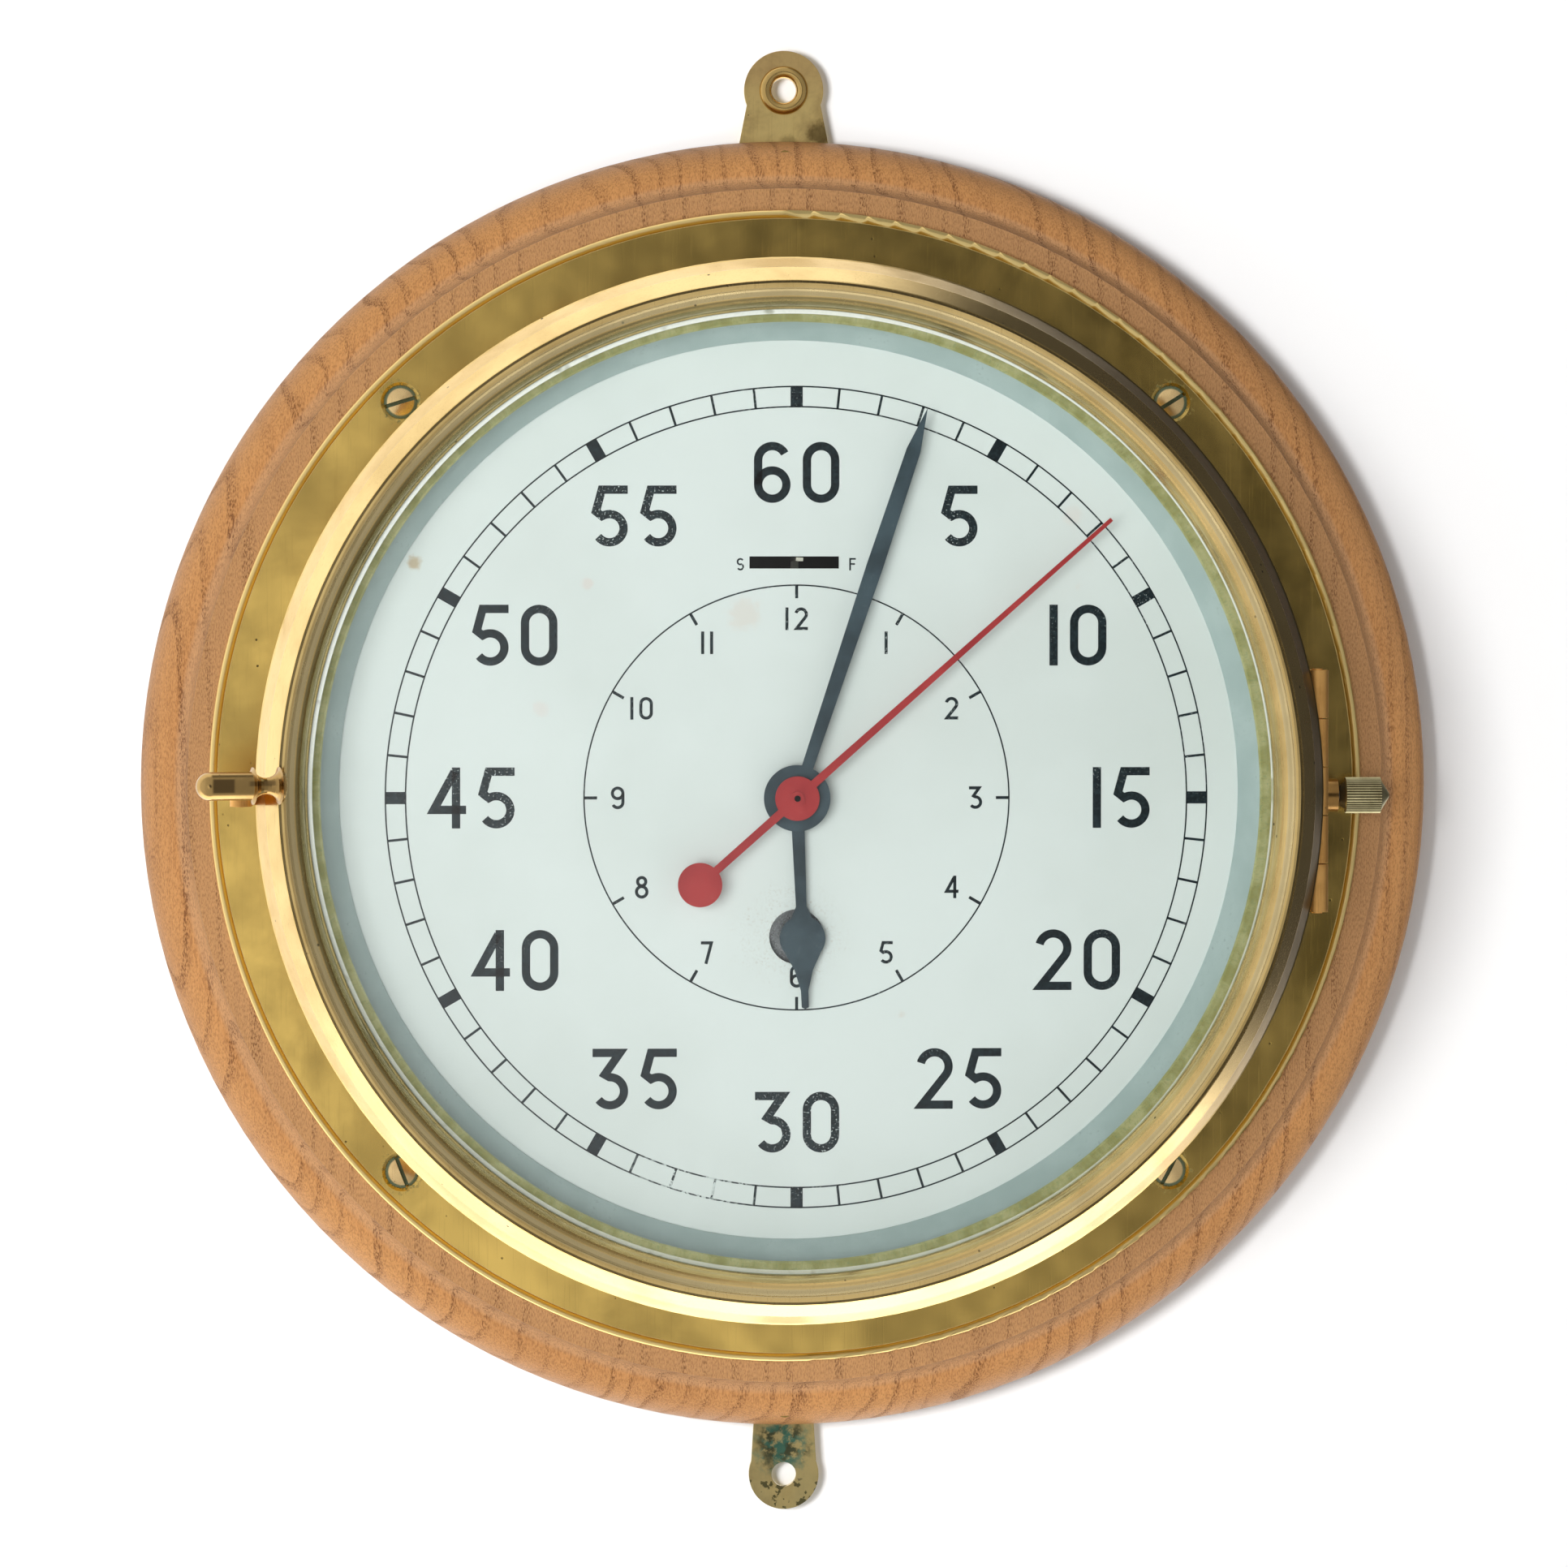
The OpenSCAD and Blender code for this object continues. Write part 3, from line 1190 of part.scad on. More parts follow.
wood_backboard();
top_hanger();
bottom_hanger();
hanger_eyelet();
hanger_screws();
case_body();
flange_screws();
rim_gasket();
surround_ring();
surround_screws();
bezel_ring();
glass();
glass_retaining_ring();
hinge_case_leaf();
hinge_bezel_leaf();
hinge_pin();
side_screws();
latch_block();
latch_lever();
latch_pin();
stop_bush();
stop_knob();
stop_spindle();
dial_plate();
dial_feet();
back_plate();
front_plate();
plate_pillars();
pillar_screws();
movement_posts();
barrel();
barrel_cover();
mainspring();
winding_arbor();
ratchet_wheel();
click();
click_screw();
click_spring();
intermediate_wheel();
centre_wheel();
third_wheel();
seconds_wheel();
escape_wheel();
pallet_lever();
escapement_bridge();
balance_wheel();
balance_cock();
cock_screws();
hairspring();
regulator_index();
cannon_pinion();
minute_wheel();
minute_wheel_post();
hour_wheel();
hour_hand();
minute_hand();
seconds_hand();
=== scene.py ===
"""Bulkhead clock: the dial's print, the finishes, the light and the camera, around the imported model.

The clock hangs on a pale wall and faces -Y, with +Z up. Places on it are given in its own coordinates, in
millimetres: x to the right, y up the dial and z out from the wall. The finishes work in metres, in each
piece's object coordinates, where z is up the dial and -y is out from the wall.
"""

import math

import bpy
import numpy as np
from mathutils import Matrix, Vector


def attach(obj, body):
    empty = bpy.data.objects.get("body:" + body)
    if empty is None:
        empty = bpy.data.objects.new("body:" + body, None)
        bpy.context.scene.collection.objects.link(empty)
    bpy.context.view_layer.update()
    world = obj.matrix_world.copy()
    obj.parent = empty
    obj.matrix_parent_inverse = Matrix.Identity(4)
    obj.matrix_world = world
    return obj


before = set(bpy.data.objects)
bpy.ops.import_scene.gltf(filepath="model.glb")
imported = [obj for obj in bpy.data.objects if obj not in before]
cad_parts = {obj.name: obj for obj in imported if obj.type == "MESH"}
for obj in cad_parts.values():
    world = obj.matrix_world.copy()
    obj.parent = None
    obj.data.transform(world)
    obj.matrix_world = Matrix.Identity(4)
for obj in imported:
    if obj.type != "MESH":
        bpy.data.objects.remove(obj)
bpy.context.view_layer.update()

MM = 0.001
DIAL_CENTRE = (1.7, -1.65)  # the hands' pivot, from the axis of the case
DIAL_FACE_Z = 45.2
FLANGE_FACE_Z = 22.3
FLANGE_SCREWS = [(88.1 * sx, 88.1 * sy) for sx in (1, -1) for sy in (1, -1)]
HANGER_FACE_Z = 2.5
KEY_SIDE = (-0.93, -0.37)  # directions as (x, z) seen from the front: the room's bright side
DARK_SIDE = (0.94, 0.34)  # and its dark one, which is also the hinge's side
UPPER_LEFT = (-8.0, 5.0)  # where the bezel's painted shade next to the glass is strongest; so long that it gives -1 to 1 over the bezel


# ---------------------------------------------------------------- node helpers


class Tree:
    """Adds nodes to one tree."""

    def __init__(self, tree):
        self.tree = tree

    def node(self, kind, inputs=None, **settings):
        """A node with its settings, and its inputs by name or number: values, or other nodes' outputs."""
        made = self.tree.nodes.new(kind)
        for name, value in settings.items():
            setattr(made, name, value)
        for key, value in (inputs or {}).items():
            if isinstance(value, bpy.types.NodeSocket):
                self.tree.links.new(value, made.inputs[key])
            else:
                made.inputs[key].default_value = value
        return made

    def add(self, kind, inputs=None, out=0, **settings):
        """One output of a new node."""
        return self.node(kind, inputs, **settings).outputs[out]

    def group(self, made, **inputs):
        """The outputs of a placed node group."""
        return self.node("ShaderNodeGroup", inputs, node_tree=made).outputs

    def place(self):
        """The piece's own coordinates, in metres."""
        return self.add("ShaderNodeTexCoord", out="Object")

    def split(self, at):
        """The x, y and z of a place."""
        return self.node("ShaderNodeSeparateXYZ", {0: at}).outputs

    def math(self, operation, *values):
        """A Math node."""
        return self.add("ShaderNodeMath", dict(enumerate(values)), operation=operation)

    def times(self, first, *others):
        """The product of two or more values."""
        for value in others:
            first = self.math("MULTIPLY", first, value)
        return first

    def plus(self, first, *others):
        """The sum of two or more values."""
        for value in others:
            first = self.math("ADD", first, value)
        return first

    def away_from(self, value, centre):
        """How far a value is from a fixed one."""
        return self.math("ABSOLUTE", self.math("SUBTRACT", value, centre))

    def vector(self, operation, *values, out=0):
        """A Vector Math node."""
        return self.add("ShaderNodeVectorMath", dict(enumerate(values)), out, operation=operation)

    def towards(self, at, side):
        """How far a place lies towards a side, given as (x, z) seen from the front."""
        return self.vector("DOT_PRODUCT", at, (side[0], 0.0, side[1]), out="Value")

    def band(self, value, low, high, to_low=0.0, to_high=1.0):
        """Maps low..high of a value smoothly to to_low..to_high, held at the ends."""
        return self.add(
            "ShaderNodeMapRange",
            {"Value": value, "From Min": low, "From Max": high, "To Min": to_low, "To Max": to_high},
            interpolation_type="SMOOTHSTEP",
        )

    def between(self, value, rise, fall):
        """1 inside an interval: rise and fall are the pairs of values over which its two edges fade."""
        return self.times(self.band(value, *rise), self.band(value, *fall, 1.0, 0.0))

    def mix(self, share, a, b):
        """Colour a, with share of b."""
        return self.add("ShaderNodeMix", {0: share, 6: a, 7: b}, 2, data_type="RGBA")

    def tint(self, colour, mask, strength, tone):
        """A colour with a tone laid over it at this strength, where the mask is 1."""
        return self.mix(self.times(mask, strength), colour, tone)

    def blend(self, share, a, b):
        """Value a, with share of b."""
        return self.add("ShaderNodeMix", {0: share, 2: a, 3: b})

    def noise(self, at, scale, detail=3.0, rough=0.5, warp=0.0):
        """Noise with its scale in features a metre."""
        inputs = {"Vector": at, "Scale": scale, "Detail": detail, "Roughness": rough, "Distortion": warp}
        return self.add("ShaderNodeTexNoise", inputs)

    def cells(self, at, scale):
        """Distance to the nearest of scattered points, with so many of them a metre."""
        return self.add("ShaderNodeTexVoronoi", {"Vector": at, "Scale": scale, "Randomness": 1.0}, "Distance")

    def stretch(self, at, scale, turn=(0.0, 0.0, 0.0)):
        """Coordinates turned and scaled by a Mapping node."""
        return self.add("ShaderNodeMapping", {"Vector": at, "Rotation": turn, "Scale": scale})

    def bump(self, height, distance, strength, normal=None):
        """A bump from a height of 0 to 1 over a distance in metres."""
        inputs = {"Height": height, "Distance": distance, "Strength": strength}
        if normal is not None:
            inputs["Normal"] = normal
        return self.add("ShaderNodeBump", inputs)


def shader_group(name, inputs, outputs, build):
    """A shader node group. inputs are (name, kind, default), outputs are (name, kind), and build returns what
    each output is linked to, by name."""
    made = bpy.data.node_groups.new(name, "ShaderNodeTree")
    for label, kind, value in inputs:
        socket = made.interface.new_socket(label, in_out="INPUT", socket_type=kind)
        if value is not None:
            socket.default_value = value
    for label, kind in outputs:
        made.interface.new_socket(label, in_out="OUTPUT", socket_type=kind)
    entry = made.nodes.new("NodeGroupInput")
    leave = made.nodes.new("NodeGroupOutput")
    for label, socket in build(Tree(made), entry.outputs).items():
        made.links.new(socket, leave.inputs[label])
    return made


FLOAT, VECTOR = "NodeSocketFloat", "NodeSocketVector"


def linear(r, g, b):
    """An sRGB colour of 0 to 255 as a linear one."""
    return tuple(
        c / 12.92 if c <= 0.04045 else ((c + 0.055) / 1.055) ** 2.4 for c in (r / 255, g / 255, b / 255)
    ) + (1.0,)


# ---------------------------------------------------------------- shared effects


def build_round_axis(t, given):
    """Distance from the case axis, the angle round it, and the distance out from the wall."""
    x, y, z = t.split(given["Place"])
    radius = t.math("SQRT", t.plus(t.times(x, x), t.times(z, z)))
    return {"Radius": radius, "Angle": t.math("ARCTAN2", z, x), "Out": t.times(y, -1.0)}


round_axis = shader_group(
    "round_axis",
    [("Place", VECTOR, None)],
    [("Radius", FLOAT), ("Angle", FLOAT), ("Out", FLOAT)],
    build_round_axis,
)

RING_DRIFT = 0.0036  # metres a radian that the lathe's rings wander, so that they aren't perfect circles


def build_lathe_lines(t, given):
    """The height of the fine rings left by turning and polishing."""
    case = t.group(round_axis, Place=given["Place"])
    drift = t.times(case["Angle"], RING_DRIFT)
    at = t.add("ShaderNodeCombineXYZ", {0: case["Radius"], 1: drift, 2: case["Out"]})
    fine = t.noise(at, given["Fineness"], 2.0, 0.7)
    coarse = t.noise(at, t.times(given["Fineness"], 0.16), 2.0, 0.5)
    return {"Height": t.plus(t.times(fine, 0.6), t.times(coarse, 0.4))}


lathe_lines = shader_group(
    "lathe_lines",
    [("Place", VECTOR, None), ("Fineness", FLOAT, 5200.0)],
    [("Height", FLOAT)],
    build_lathe_lines,
)

SCRATCHES_ACROSS = 2600.0  # a metre
SCRATCH_SETS = [((0.2, 0.6, 0.1), 70.0), ((0.1, -0.9, 0.3), 95.0)]  # how each is turned, and its ends a metre


def build_handling(t, given):
    """Cloudy tarnish, hairline scratches in two directions, and small dark pits."""
    at, size = given["Place"], given["Size"]
    cloud = t.noise(at, t.times(size, 22.0), 5.0, 0.6, 0.6)
    blot = t.noise(at, t.times(size, 75.0), 4.0, 0.55, 0.3)
    tarnish = t.band(t.plus(t.times(cloud, 0.65), t.times(blot, 0.35)), 0.40, 0.66)
    lines = []
    for turn, along in SCRATCH_SETS:
        thin = t.noise(t.stretch(at, (SCRATCHES_ACROSS, SCRATCHES_ACROSS, along), turn), 1.0, 2.0, 0.5)
        lines.append(t.band(thin, 0.60, 0.72))
    rare = t.band(t.noise(at, 130.0, 1.0), 0.56, 0.62)
    pit = t.times(t.band(t.cells(at, given["Pits"]), 0.05, 0.11, 1.0, 0.0), rare)
    return {"Tarnish": tarnish, "Scratch": t.math("MAXIMUM", *lines), "Pit": pit}


handling = shader_group(
    "handling",
    [("Place", VECTOR, None), ("Size", FLOAT, 1.0), ("Pits", FLOAT, 420.0)],
    [("Tarnish", FLOAT), ("Scratch", FLOAT), ("Pit", FLOAT)],
    build_handling,
)


def build_near(t, given):
    """1 near a point, fading to 0 at its reach, with a ragged edge."""
    away = t.vector("DISTANCE", given["Place"], given["Point"], out="Value")
    rag = t.math("SUBTRACT", t.noise(given["Place"], given["Rag"], 4.0, 0.6), 0.5)
    ragged = t.plus(away, t.times(rag, given["Reach"]))
    return {"Near": t.band(t.math("DIVIDE", ragged, given["Reach"]), 0.35, 1.0, 1.0, 0.0)}


near = shader_group(
    "near_point",
    [("Place", VECTOR, None), ("Point", VECTOR, None), ("Reach", FLOAT, 0.01), ("Rag", FLOAT, 400.0)],
    [("Near", FLOAT)],
    build_near,
)


def spot(t, at, x, y, z, reach, rag):
    """A ragged spot at a place on the clock; rag is the number of its lobes a metre."""
    return t.group(near, Place=at, Point=(x * MM, -z * MM, y * MM), Reach=reach * MM, Rag=rag)["Near"]


# ---------------------------------------------------------------- finishes


def material(name, build, metallic=0.0, **fixed):
    """A material on one Principled shader: build returns its linked inputs, and fixed ones are set on its
    sockets."""
    made = bpy.data.materials.new(name)
    made.use_nodes = True
    shader = made.node_tree.nodes["Principled BSDF"]
    shader.inputs["Metallic"].default_value = metallic
    for key, value in fixed.items():
        shader.inputs[key.replace("_", " ")].default_value = value
    for key, socket in build(Tree(made.node_tree)).items():
        made.node_tree.links.new(socket, shader.inputs[key])
    return made


PIT_DIRT = linear(52, 44, 24)
ROUGHEST_BRASS = 0.9


def brass(
    name, clean, dull, rough, tarnish=0.6, ring=0.0, pits=420.0, scratch=0.25, size=1.0, extra=None,
    bevel=0.0, waves=(150.0, 0.8),
):
    """Brass with cloudy tarnish, hairlines and pits; ring is the strength of the lathe's lines.

    waves are the number a metre and the height of the soft hollows left by polishing by hand, and bevel is
    the radius in millimetres that the edges are seen to have."""

    def build(t):
        at = t.place()
        worn = t.group(handling, Place=at, Size=size, Pits=pits)
        amount = t.times(worn["Tarnish"], tarnish)
        colour = t.mix(amount, clean, dull)
        colour = t.tint(colour, worn["Scratch"], scratch, dull)
        colour = t.tint(colour, worn["Pit"], 0.85, PIT_DIRT)
        roughness = t.plus(rough, t.times(amount, 0.20), t.times(worn["Scratch"], 0.4 * scratch))
        height = t.math("SUBTRACT", t.times(worn["Scratch"], -scratch), worn["Pit"])
        height = t.plus(height, t.times(t.group(lathe_lines, Place=at)["Height"], ring))
        height = t.plus(height, t.times(t.noise(at, waves[0], 2.0), waves[1]))
        if extra:
            colour, roughness = extra(t, at, colour, roughness)
        base = t.add("ShaderNodeBevel", {"Radius": bevel * MM}, samples=4) if bevel else None
        return {
            "Base Color": colour,
            "Roughness": t.math("MINIMUM", roughness, ROUGHEST_BRASS),
            "Normal": t.bump(height, 0.00002, 0.7, base),
        }

    return material(name, build, metallic=1.0)


# Each of the functions below adds one piece's own wear, and on some pieces painted light and shade, to a
# brass:
# it takes the shade and roughness so far and returns them changed. The pairs of numbers before them are in
# metres, from the case axis, from the wall or along x, and a finish fades in or out between the two.

SALTS_REACH, SALTS_RAG = 5.6, 900.0  # millimetres, and lobes a metre
BEAD = (0.1299, 0.1302)
DRUM_INSIDE, PAN_FLOOR = (0.1140, 0.1150), (0.0050, 0.0054)


def flange_wear(t, at, shade, roughness):
    """The flange has painted shade in cloudy browner patches towards its top and right, a painted highlight
    on its rougher bead, and green where verdigris creeps out from its screws."""
    case = t.group(round_axis, Place=at)
    # Painted shade: cloudy browner patches towards the flange's top and right
    side = t.band(t.math("COSINE", t.math("SUBTRACT", case["Angle"], 0.75)), -0.1, 0.9)
    shaded_patch = t.times(side, t.band(t.noise(at, 26.0, 4.0, 0.6, 0.8), 0.30, 0.62))
    shade = t.tint(shade, shaded_patch, 0.40, linear(120, 104, 60))
    # Painted highlight: the bead is tinted pale and bright
    bead = t.band(case["Radius"], *BEAD)
    shade = t.tint(shade, bead, 0.85, linear(252, 224, 152))
    roughness = t.plus(roughness, t.times(bead, 0.20))
    spots = [spot(t, at, x, y, FLANGE_FACE_Z, SALTS_REACH, SALTS_RAG) for x, y in FLANGE_SCREWS]
    green = spots[0]
    for other in spots[1:]:
        green = t.math("MAXIMUM", green, other)
    green = t.times(green, t.band(t.noise(at, 1500.0, 3.0, 0.6), 0.42, 0.62))
    return t.mix(green, shade, linear(84, 128, 104)), t.plus(roughness, t.times(green, 0.5))


def case_wear(t, at, shade, roughness):
    """The flange's wear and painted light, and painted shade: the inside of the drum and pan made dull and
    dark.
    """
    shade, roughness = flange_wear(t, at, shade, roughness)
    case = t.group(round_axis, Place=at)
    # Painted shade: the inside of the drum and the pan floor are made nearly black
    inside = t.times(t.band(case["Radius"], *DRUM_INSIDE, 1.0, 0.0), t.band(case["Out"], *PAN_FLOOR))
    dull = t.mix(t.noise(at, 120.0, 4.0, 0.6), linear(36, 34, 28), linear(60, 54, 38))
    return t.mix(inside, shade, dull), t.plus(roughness, t.times(inside, 0.4))


DARK_CORNER = (0.1082, 0.1084), (0.1103, 0.1107)
PALE_STEP = (0.1106, 0.1109), (0.1123, 0.1126)
HAIRLINE_SHADE = (0.11345, 0.11360), (0.11400, 0.11415)
OUTER_FACE = (0.1171, 0.1175)


def bezel_wear(t, at, shade, roughness):
    """The bezel's turned steps: a painted pale sheen on one, painted shade next to the glass, most at the
    upper left, painted shade along the hairline, and the steep outer face, dull all round, with painted shade
    on the hinge's side."""
    radius = t.group(round_axis, Place=at)["Radius"]
    # Painted light: a pale sheen on the pale step, shade next to the glass and in the hairline, and shade on
    # the outer face's dark side
    pale = t.between(radius, *PALE_STEP)
    left = t.band(t.towards(at, UPPER_LEFT), -0.3, 0.5, 0.20, 0.75)
    corner = t.times(t.between(radius, *DARK_CORNER), left)
    outer = t.band(radius, *OUTER_FACE)
    shaded_side = t.times(outer, t.band(t.towards(at, DARK_SIDE), 0.045, 0.095, 0.0, 0.75))
    shade = t.tint(shade, pale, 0.50, linear(208, 198, 160))
    painted_shade = t.mix(t.band(t.noise(at, 60.0, 4.0, 0.6), 0.3, 0.7), linear(104, 100, 66), linear(132, 122, 84))
    shade = t.mix(corner, shade, painted_shade)
    shade = t.tint(shade, t.between(radius, *HAIRLINE_SHADE), 0.75, linear(66, 56, 34))
    shade = t.mix(shaded_side, shade, linear(76, 66, 38))
    return shade, t.plus(roughness, t.plus(t.times(pale, 0.10), t.times(outer, 0.16)))


ARBOR_TIP = (0.0500, 0.0504)


def arbor_tip(t, at, shade, roughness):
    """The seconds arbor is dark where it shows in the middle of the red hand."""
    tip = t.band(t.group(round_axis, Place=at)["Out"], *ARBOR_TIP)
    return t.mix(tip, shade, linear(40, 36, 34)), t.plus(roughness, t.times(tip, 0.2))


BARREL_TOP, BARREL_MIDDLE_Z = ((-0.1282, -0.1276), (-0.1236, -0.1229)), 0.0021
WAIST, WAIST_MIDDLE_Z = ((-0.1205, -0.1195), (-0.1150, -0.1138)), 0.0026


def lever_browning(t, at, shade, roughness):
    """The latch lever has a dark reflection painted on top of its barrel and along its waist; it is left
    bright round its end.
    """
    x, _, z = t.split(at)
    # Painted reflection: dark bands on the barrel's top and along the waist
    on_top = t.band(t.away_from(z, BARREL_MIDDLE_Z), 0.0013, 0.0017, 1.0, 0.0)
    on_waist = t.band(t.away_from(z, WAIST_MIDDLE_Z), 0.0003, 0.0008, 1.0, 0.0)
    top = t.times(t.between(x, *BARREL_TOP), on_top)
    waist = t.times(t.between(x, *WAIST), on_waist)
    dark_reflection = t.math("MAXIMUM", t.times(top, 0.7), t.times(waist, 0.5))
    return t.mix(dark_reflection, shade, linear(66, 48, 32)), roughness


FROM_STOP_AXIS = (0.0, 0.0315, 0.00165)  # added to a place, it puts the stop's axis at y = z = 0
KNURL_GROOVE = (0.0036, 0.0038), (0.00392, 0.00404)
STOP_NECK = (0.12735, 0.12750)


def knurl_dirt(t, at, shade, roughness):
    """Painted shade in the knurl's grooves, which are told by their distance from the stop's axis, and on
    its neck."""
    x, y, z = t.split(t.vector("ADD", at, FROM_STOP_AXIS))
    away = t.math("SQRT", t.plus(t.times(y, y), t.times(z, z)))
    # Painted shade: the grooves and the neck are darkened
    neck = t.band(x, *STOP_NECK, 1.0, 0.0)
    painted_shade = t.math("MAXIMUM", t.times(t.between(away, *KNURL_GROOVE), 0.85), t.times(neck, 0.8))
    return t.mix(painted_shade, shade, linear(58, 48, 32)), t.plus(roughness, t.times(painted_shade, 0.2))


SCREW_DOME = (0.02222, 0.02240)


def screw_salts(t, at, shade, roughness):
    """Green salts in the slots and round the rims of the flange's screws, below the polished domes."""
    low = t.band(t.group(round_axis, Place=at)["Out"], *SCREW_DOME, 1.0, 0.0)
    salts = t.mix(t.noise(at, 2400.0, 3.0, 0.6), linear(84, 124, 106), linear(150, 176, 156))
    return t.tint(shade, low, 0.85, salts), t.plus(roughness, t.times(low, 0.5))


# Spots on the hangers, as spot() takes them
WATER_STAIN = (8.8, 150.5, HANGER_FACE_Z, 4.5, 600.0)
FAINT_STAIN = (1.0, 148.5, HANGER_FACE_Z, 2.5, 700.0)
GREEN_CRUST = (-0.5, -153.5, HANGER_FACE_Z, 8.5, 420.0)


def ear_stains(t, at, shade, roughness):
    """Hangers: yellow low down, with painted shade darker and pinker at the top one's upper end, dark water
    stains low on the top one, and verdigris above the bottom one's hole with dark spots below it."""
    z = t.split(at)[2]
    # Painted shade: the top hanger's upper end is darker and pinker
    shaded_top = t.band(t.plus(z, t.times(t.noise(at, 110.0, 3.0), 0.010)), 0.160, 0.174)
    shade = t.tint(shade, shaded_top, 0.45, linear(196, 156, 108))
    faint = t.times(spot(t, at, *FAINT_STAIN), 0.5)
    dark = t.math("MAXIMUM", spot(t, at, *WATER_STAIN), faint)
    shade = t.tint(shade, dark, 0.65, linear(84, 70, 42))
    bottom = t.band(z, -0.150, -0.140, 1.0, 0.0)
    grey = t.mix(t.noise(at, 150.0, 3.0), linear(150, 146, 112), linear(206, 184, 122))
    shade = t.tint(shade, bottom, 0.6, grey)
    blotches = t.band(t.noise(at, 520.0, 4.0, 0.65), 0.36, 0.54)
    green = t.times(spot(t, at, *GREEN_CRUST), blotches)
    salts = t.mix(t.band(t.noise(at, 330.0, 2.0), 0.42, 0.56), linear(70, 88, 72), linear(66, 140, 128))
    shade = t.tint(shade, green, 0.85, salts)
    dots = t.times(t.band(t.noise(at, 620.0, 2.0, 0.5), 0.56, 0.62), t.band(z, -0.1600, -0.1630), bottom)
    shade = t.tint(shade, dots, 0.8, linear(84, 88, 62))
    crust = t.math("MAXIMUM", t.math("MAXIMUM", dark, green), dots)
    return shade, t.plus(roughness, t.times(crust, 0.3))


YEARS = 150.0  # growth rings a metre across the board
GRAIN_LEAN = (0.0, 0.035, 0.0)
LAND_EDGE = (0.1366, 0.1378)
COVE = (0.1366, 0.1375), (0.1396, 0.1408)
BOARD_FRONT = (0.002, 0.006)


def build_wood(t):
    """Straight-grained hardwood: growth bands in upright planes, full of short pores and pale flecks, with a
    painted pale sheen in the cove.

    The noises are stretched by their features a metre: across the grain, into the board, and along it."""
    at = t.place()
    x, y, _ = t.split(t.stretch(at, (1.0, 1.0, 0.10), GRAIN_LEAN))
    wave = t.math("SUBTRACT", t.noise(t.stretch(at, (7.0, 7.0, 2.6)), 1.0, 2.0, 0.5), 0.5)
    across = t.plus(x, t.times(wave, 0.020), t.times(y, 0.6))
    uneven = t.times(t.noise(t.stretch(at, (34.0, 34.0, 2.5)), 1.0, 2.0), 5.0)
    years = t.plus(t.times(across, YEARS), uneven)
    year = t.add("ShaderNodeCombineXYZ", {0: t.math("FLOOR", years)})
    strong = t.band(t.noise(year, 0.73, 1.0), 0.3, 0.7, 0.25, 1.0)
    open_wood = t.times(t.between(t.math("FRACT", years), (0.0, 0.05), (0.10, 0.42)), strong)
    streak = t.noise(t.stretch(at, (1100.0, 1100.0, 9.0), GRAIN_LEAN), 1.0, 3.0, 0.6)
    fibre = t.noise(t.stretch(at, (3400.0, 3400.0, 160.0)), 1.0, 3.0, 0.6)
    grain = t.noise(t.stretch(at, (3600.0, 3600.0, 1250.0), (0.0, 0.03, 0.0)), 1.0, 2.0, 0.5)
    pore = t.times(t.band(grain, 0.51, 0.60), t.band(open_wood, 0.0, 0.8, 0.42, 1.0))
    pale = t.times(t.band(grain, 0.46, 0.34), t.band(open_wood, 0.0, 1.0, 0.5, 1.0))
    broad = t.noise(t.stretch(at, (16.0, 16.0, 5.0)), 1.0, 3.0)
    colour = t.mix(t.band(broad, 0.3, 0.7), linear(198, 140, 82), linear(178, 123, 72))
    colour = t.tint(colour, t.band(streak, 0.40, 0.68), 0.42, linear(160, 108, 62))
    colour = t.tint(colour, open_wood, 0.62, linear(136, 88, 50))
    colour = t.tint(colour, fibre, 0.30, linear(222, 172, 112))
    case = t.group(round_axis, Place=at)
    front = t.band(case["Out"], *BOARD_FRONT)
    land = t.times(t.band(case["Radius"], *LAND_EDGE, 1.0, 0.0), front)
    # Painted sheen: the cove is tinted paler
    cove_sheen = t.times(t.between(case["Radius"], *COVE), front)
    colour = t.tint(colour, land, 0.50, linear(166, 132, 96))
    colour = t.tint(colour, cove_sheen, 0.30, linear(186, 158, 128))
    colour = t.tint(colour, pale, 0.42, linear(222, 168, 112))
    colour = t.tint(colour, pore, 0.72, linear(104, 60, 34))
    height = t.math("SUBTRACT", t.times(fibre, 0.35), pore)
    roughness = t.band(t.plus(t.times(open_wood, 0.5), t.times(broad, 0.5)), 0.2, 0.9, 0.50, 0.68)
    return {"Base Color": colour, "Roughness": roughness, "Normal": t.bump(height, 0.00005, 0.7)}


FOXING = [  # x, y, reach, strength, tint
    (-84.4, 51.3, 2.2, 0.75, linear(186, 160, 116)),
    (-10.1, 39.8, 5.0, 0.30, linear(220, 196, 178)),
    (-45.5, 46.8, 1.8, 0.30, linear(222, 190, 178)),
    (64.0, 62.0, 3.0, 0.20, linear(226, 196, 184)),
    (-56.0, 18.5, 2.4, 0.22, linear(224, 192, 182)),
]
KEYHOLE_GRIME = (0.3, -32.5, DIAL_FACE_Z, 16.0, 200.0)


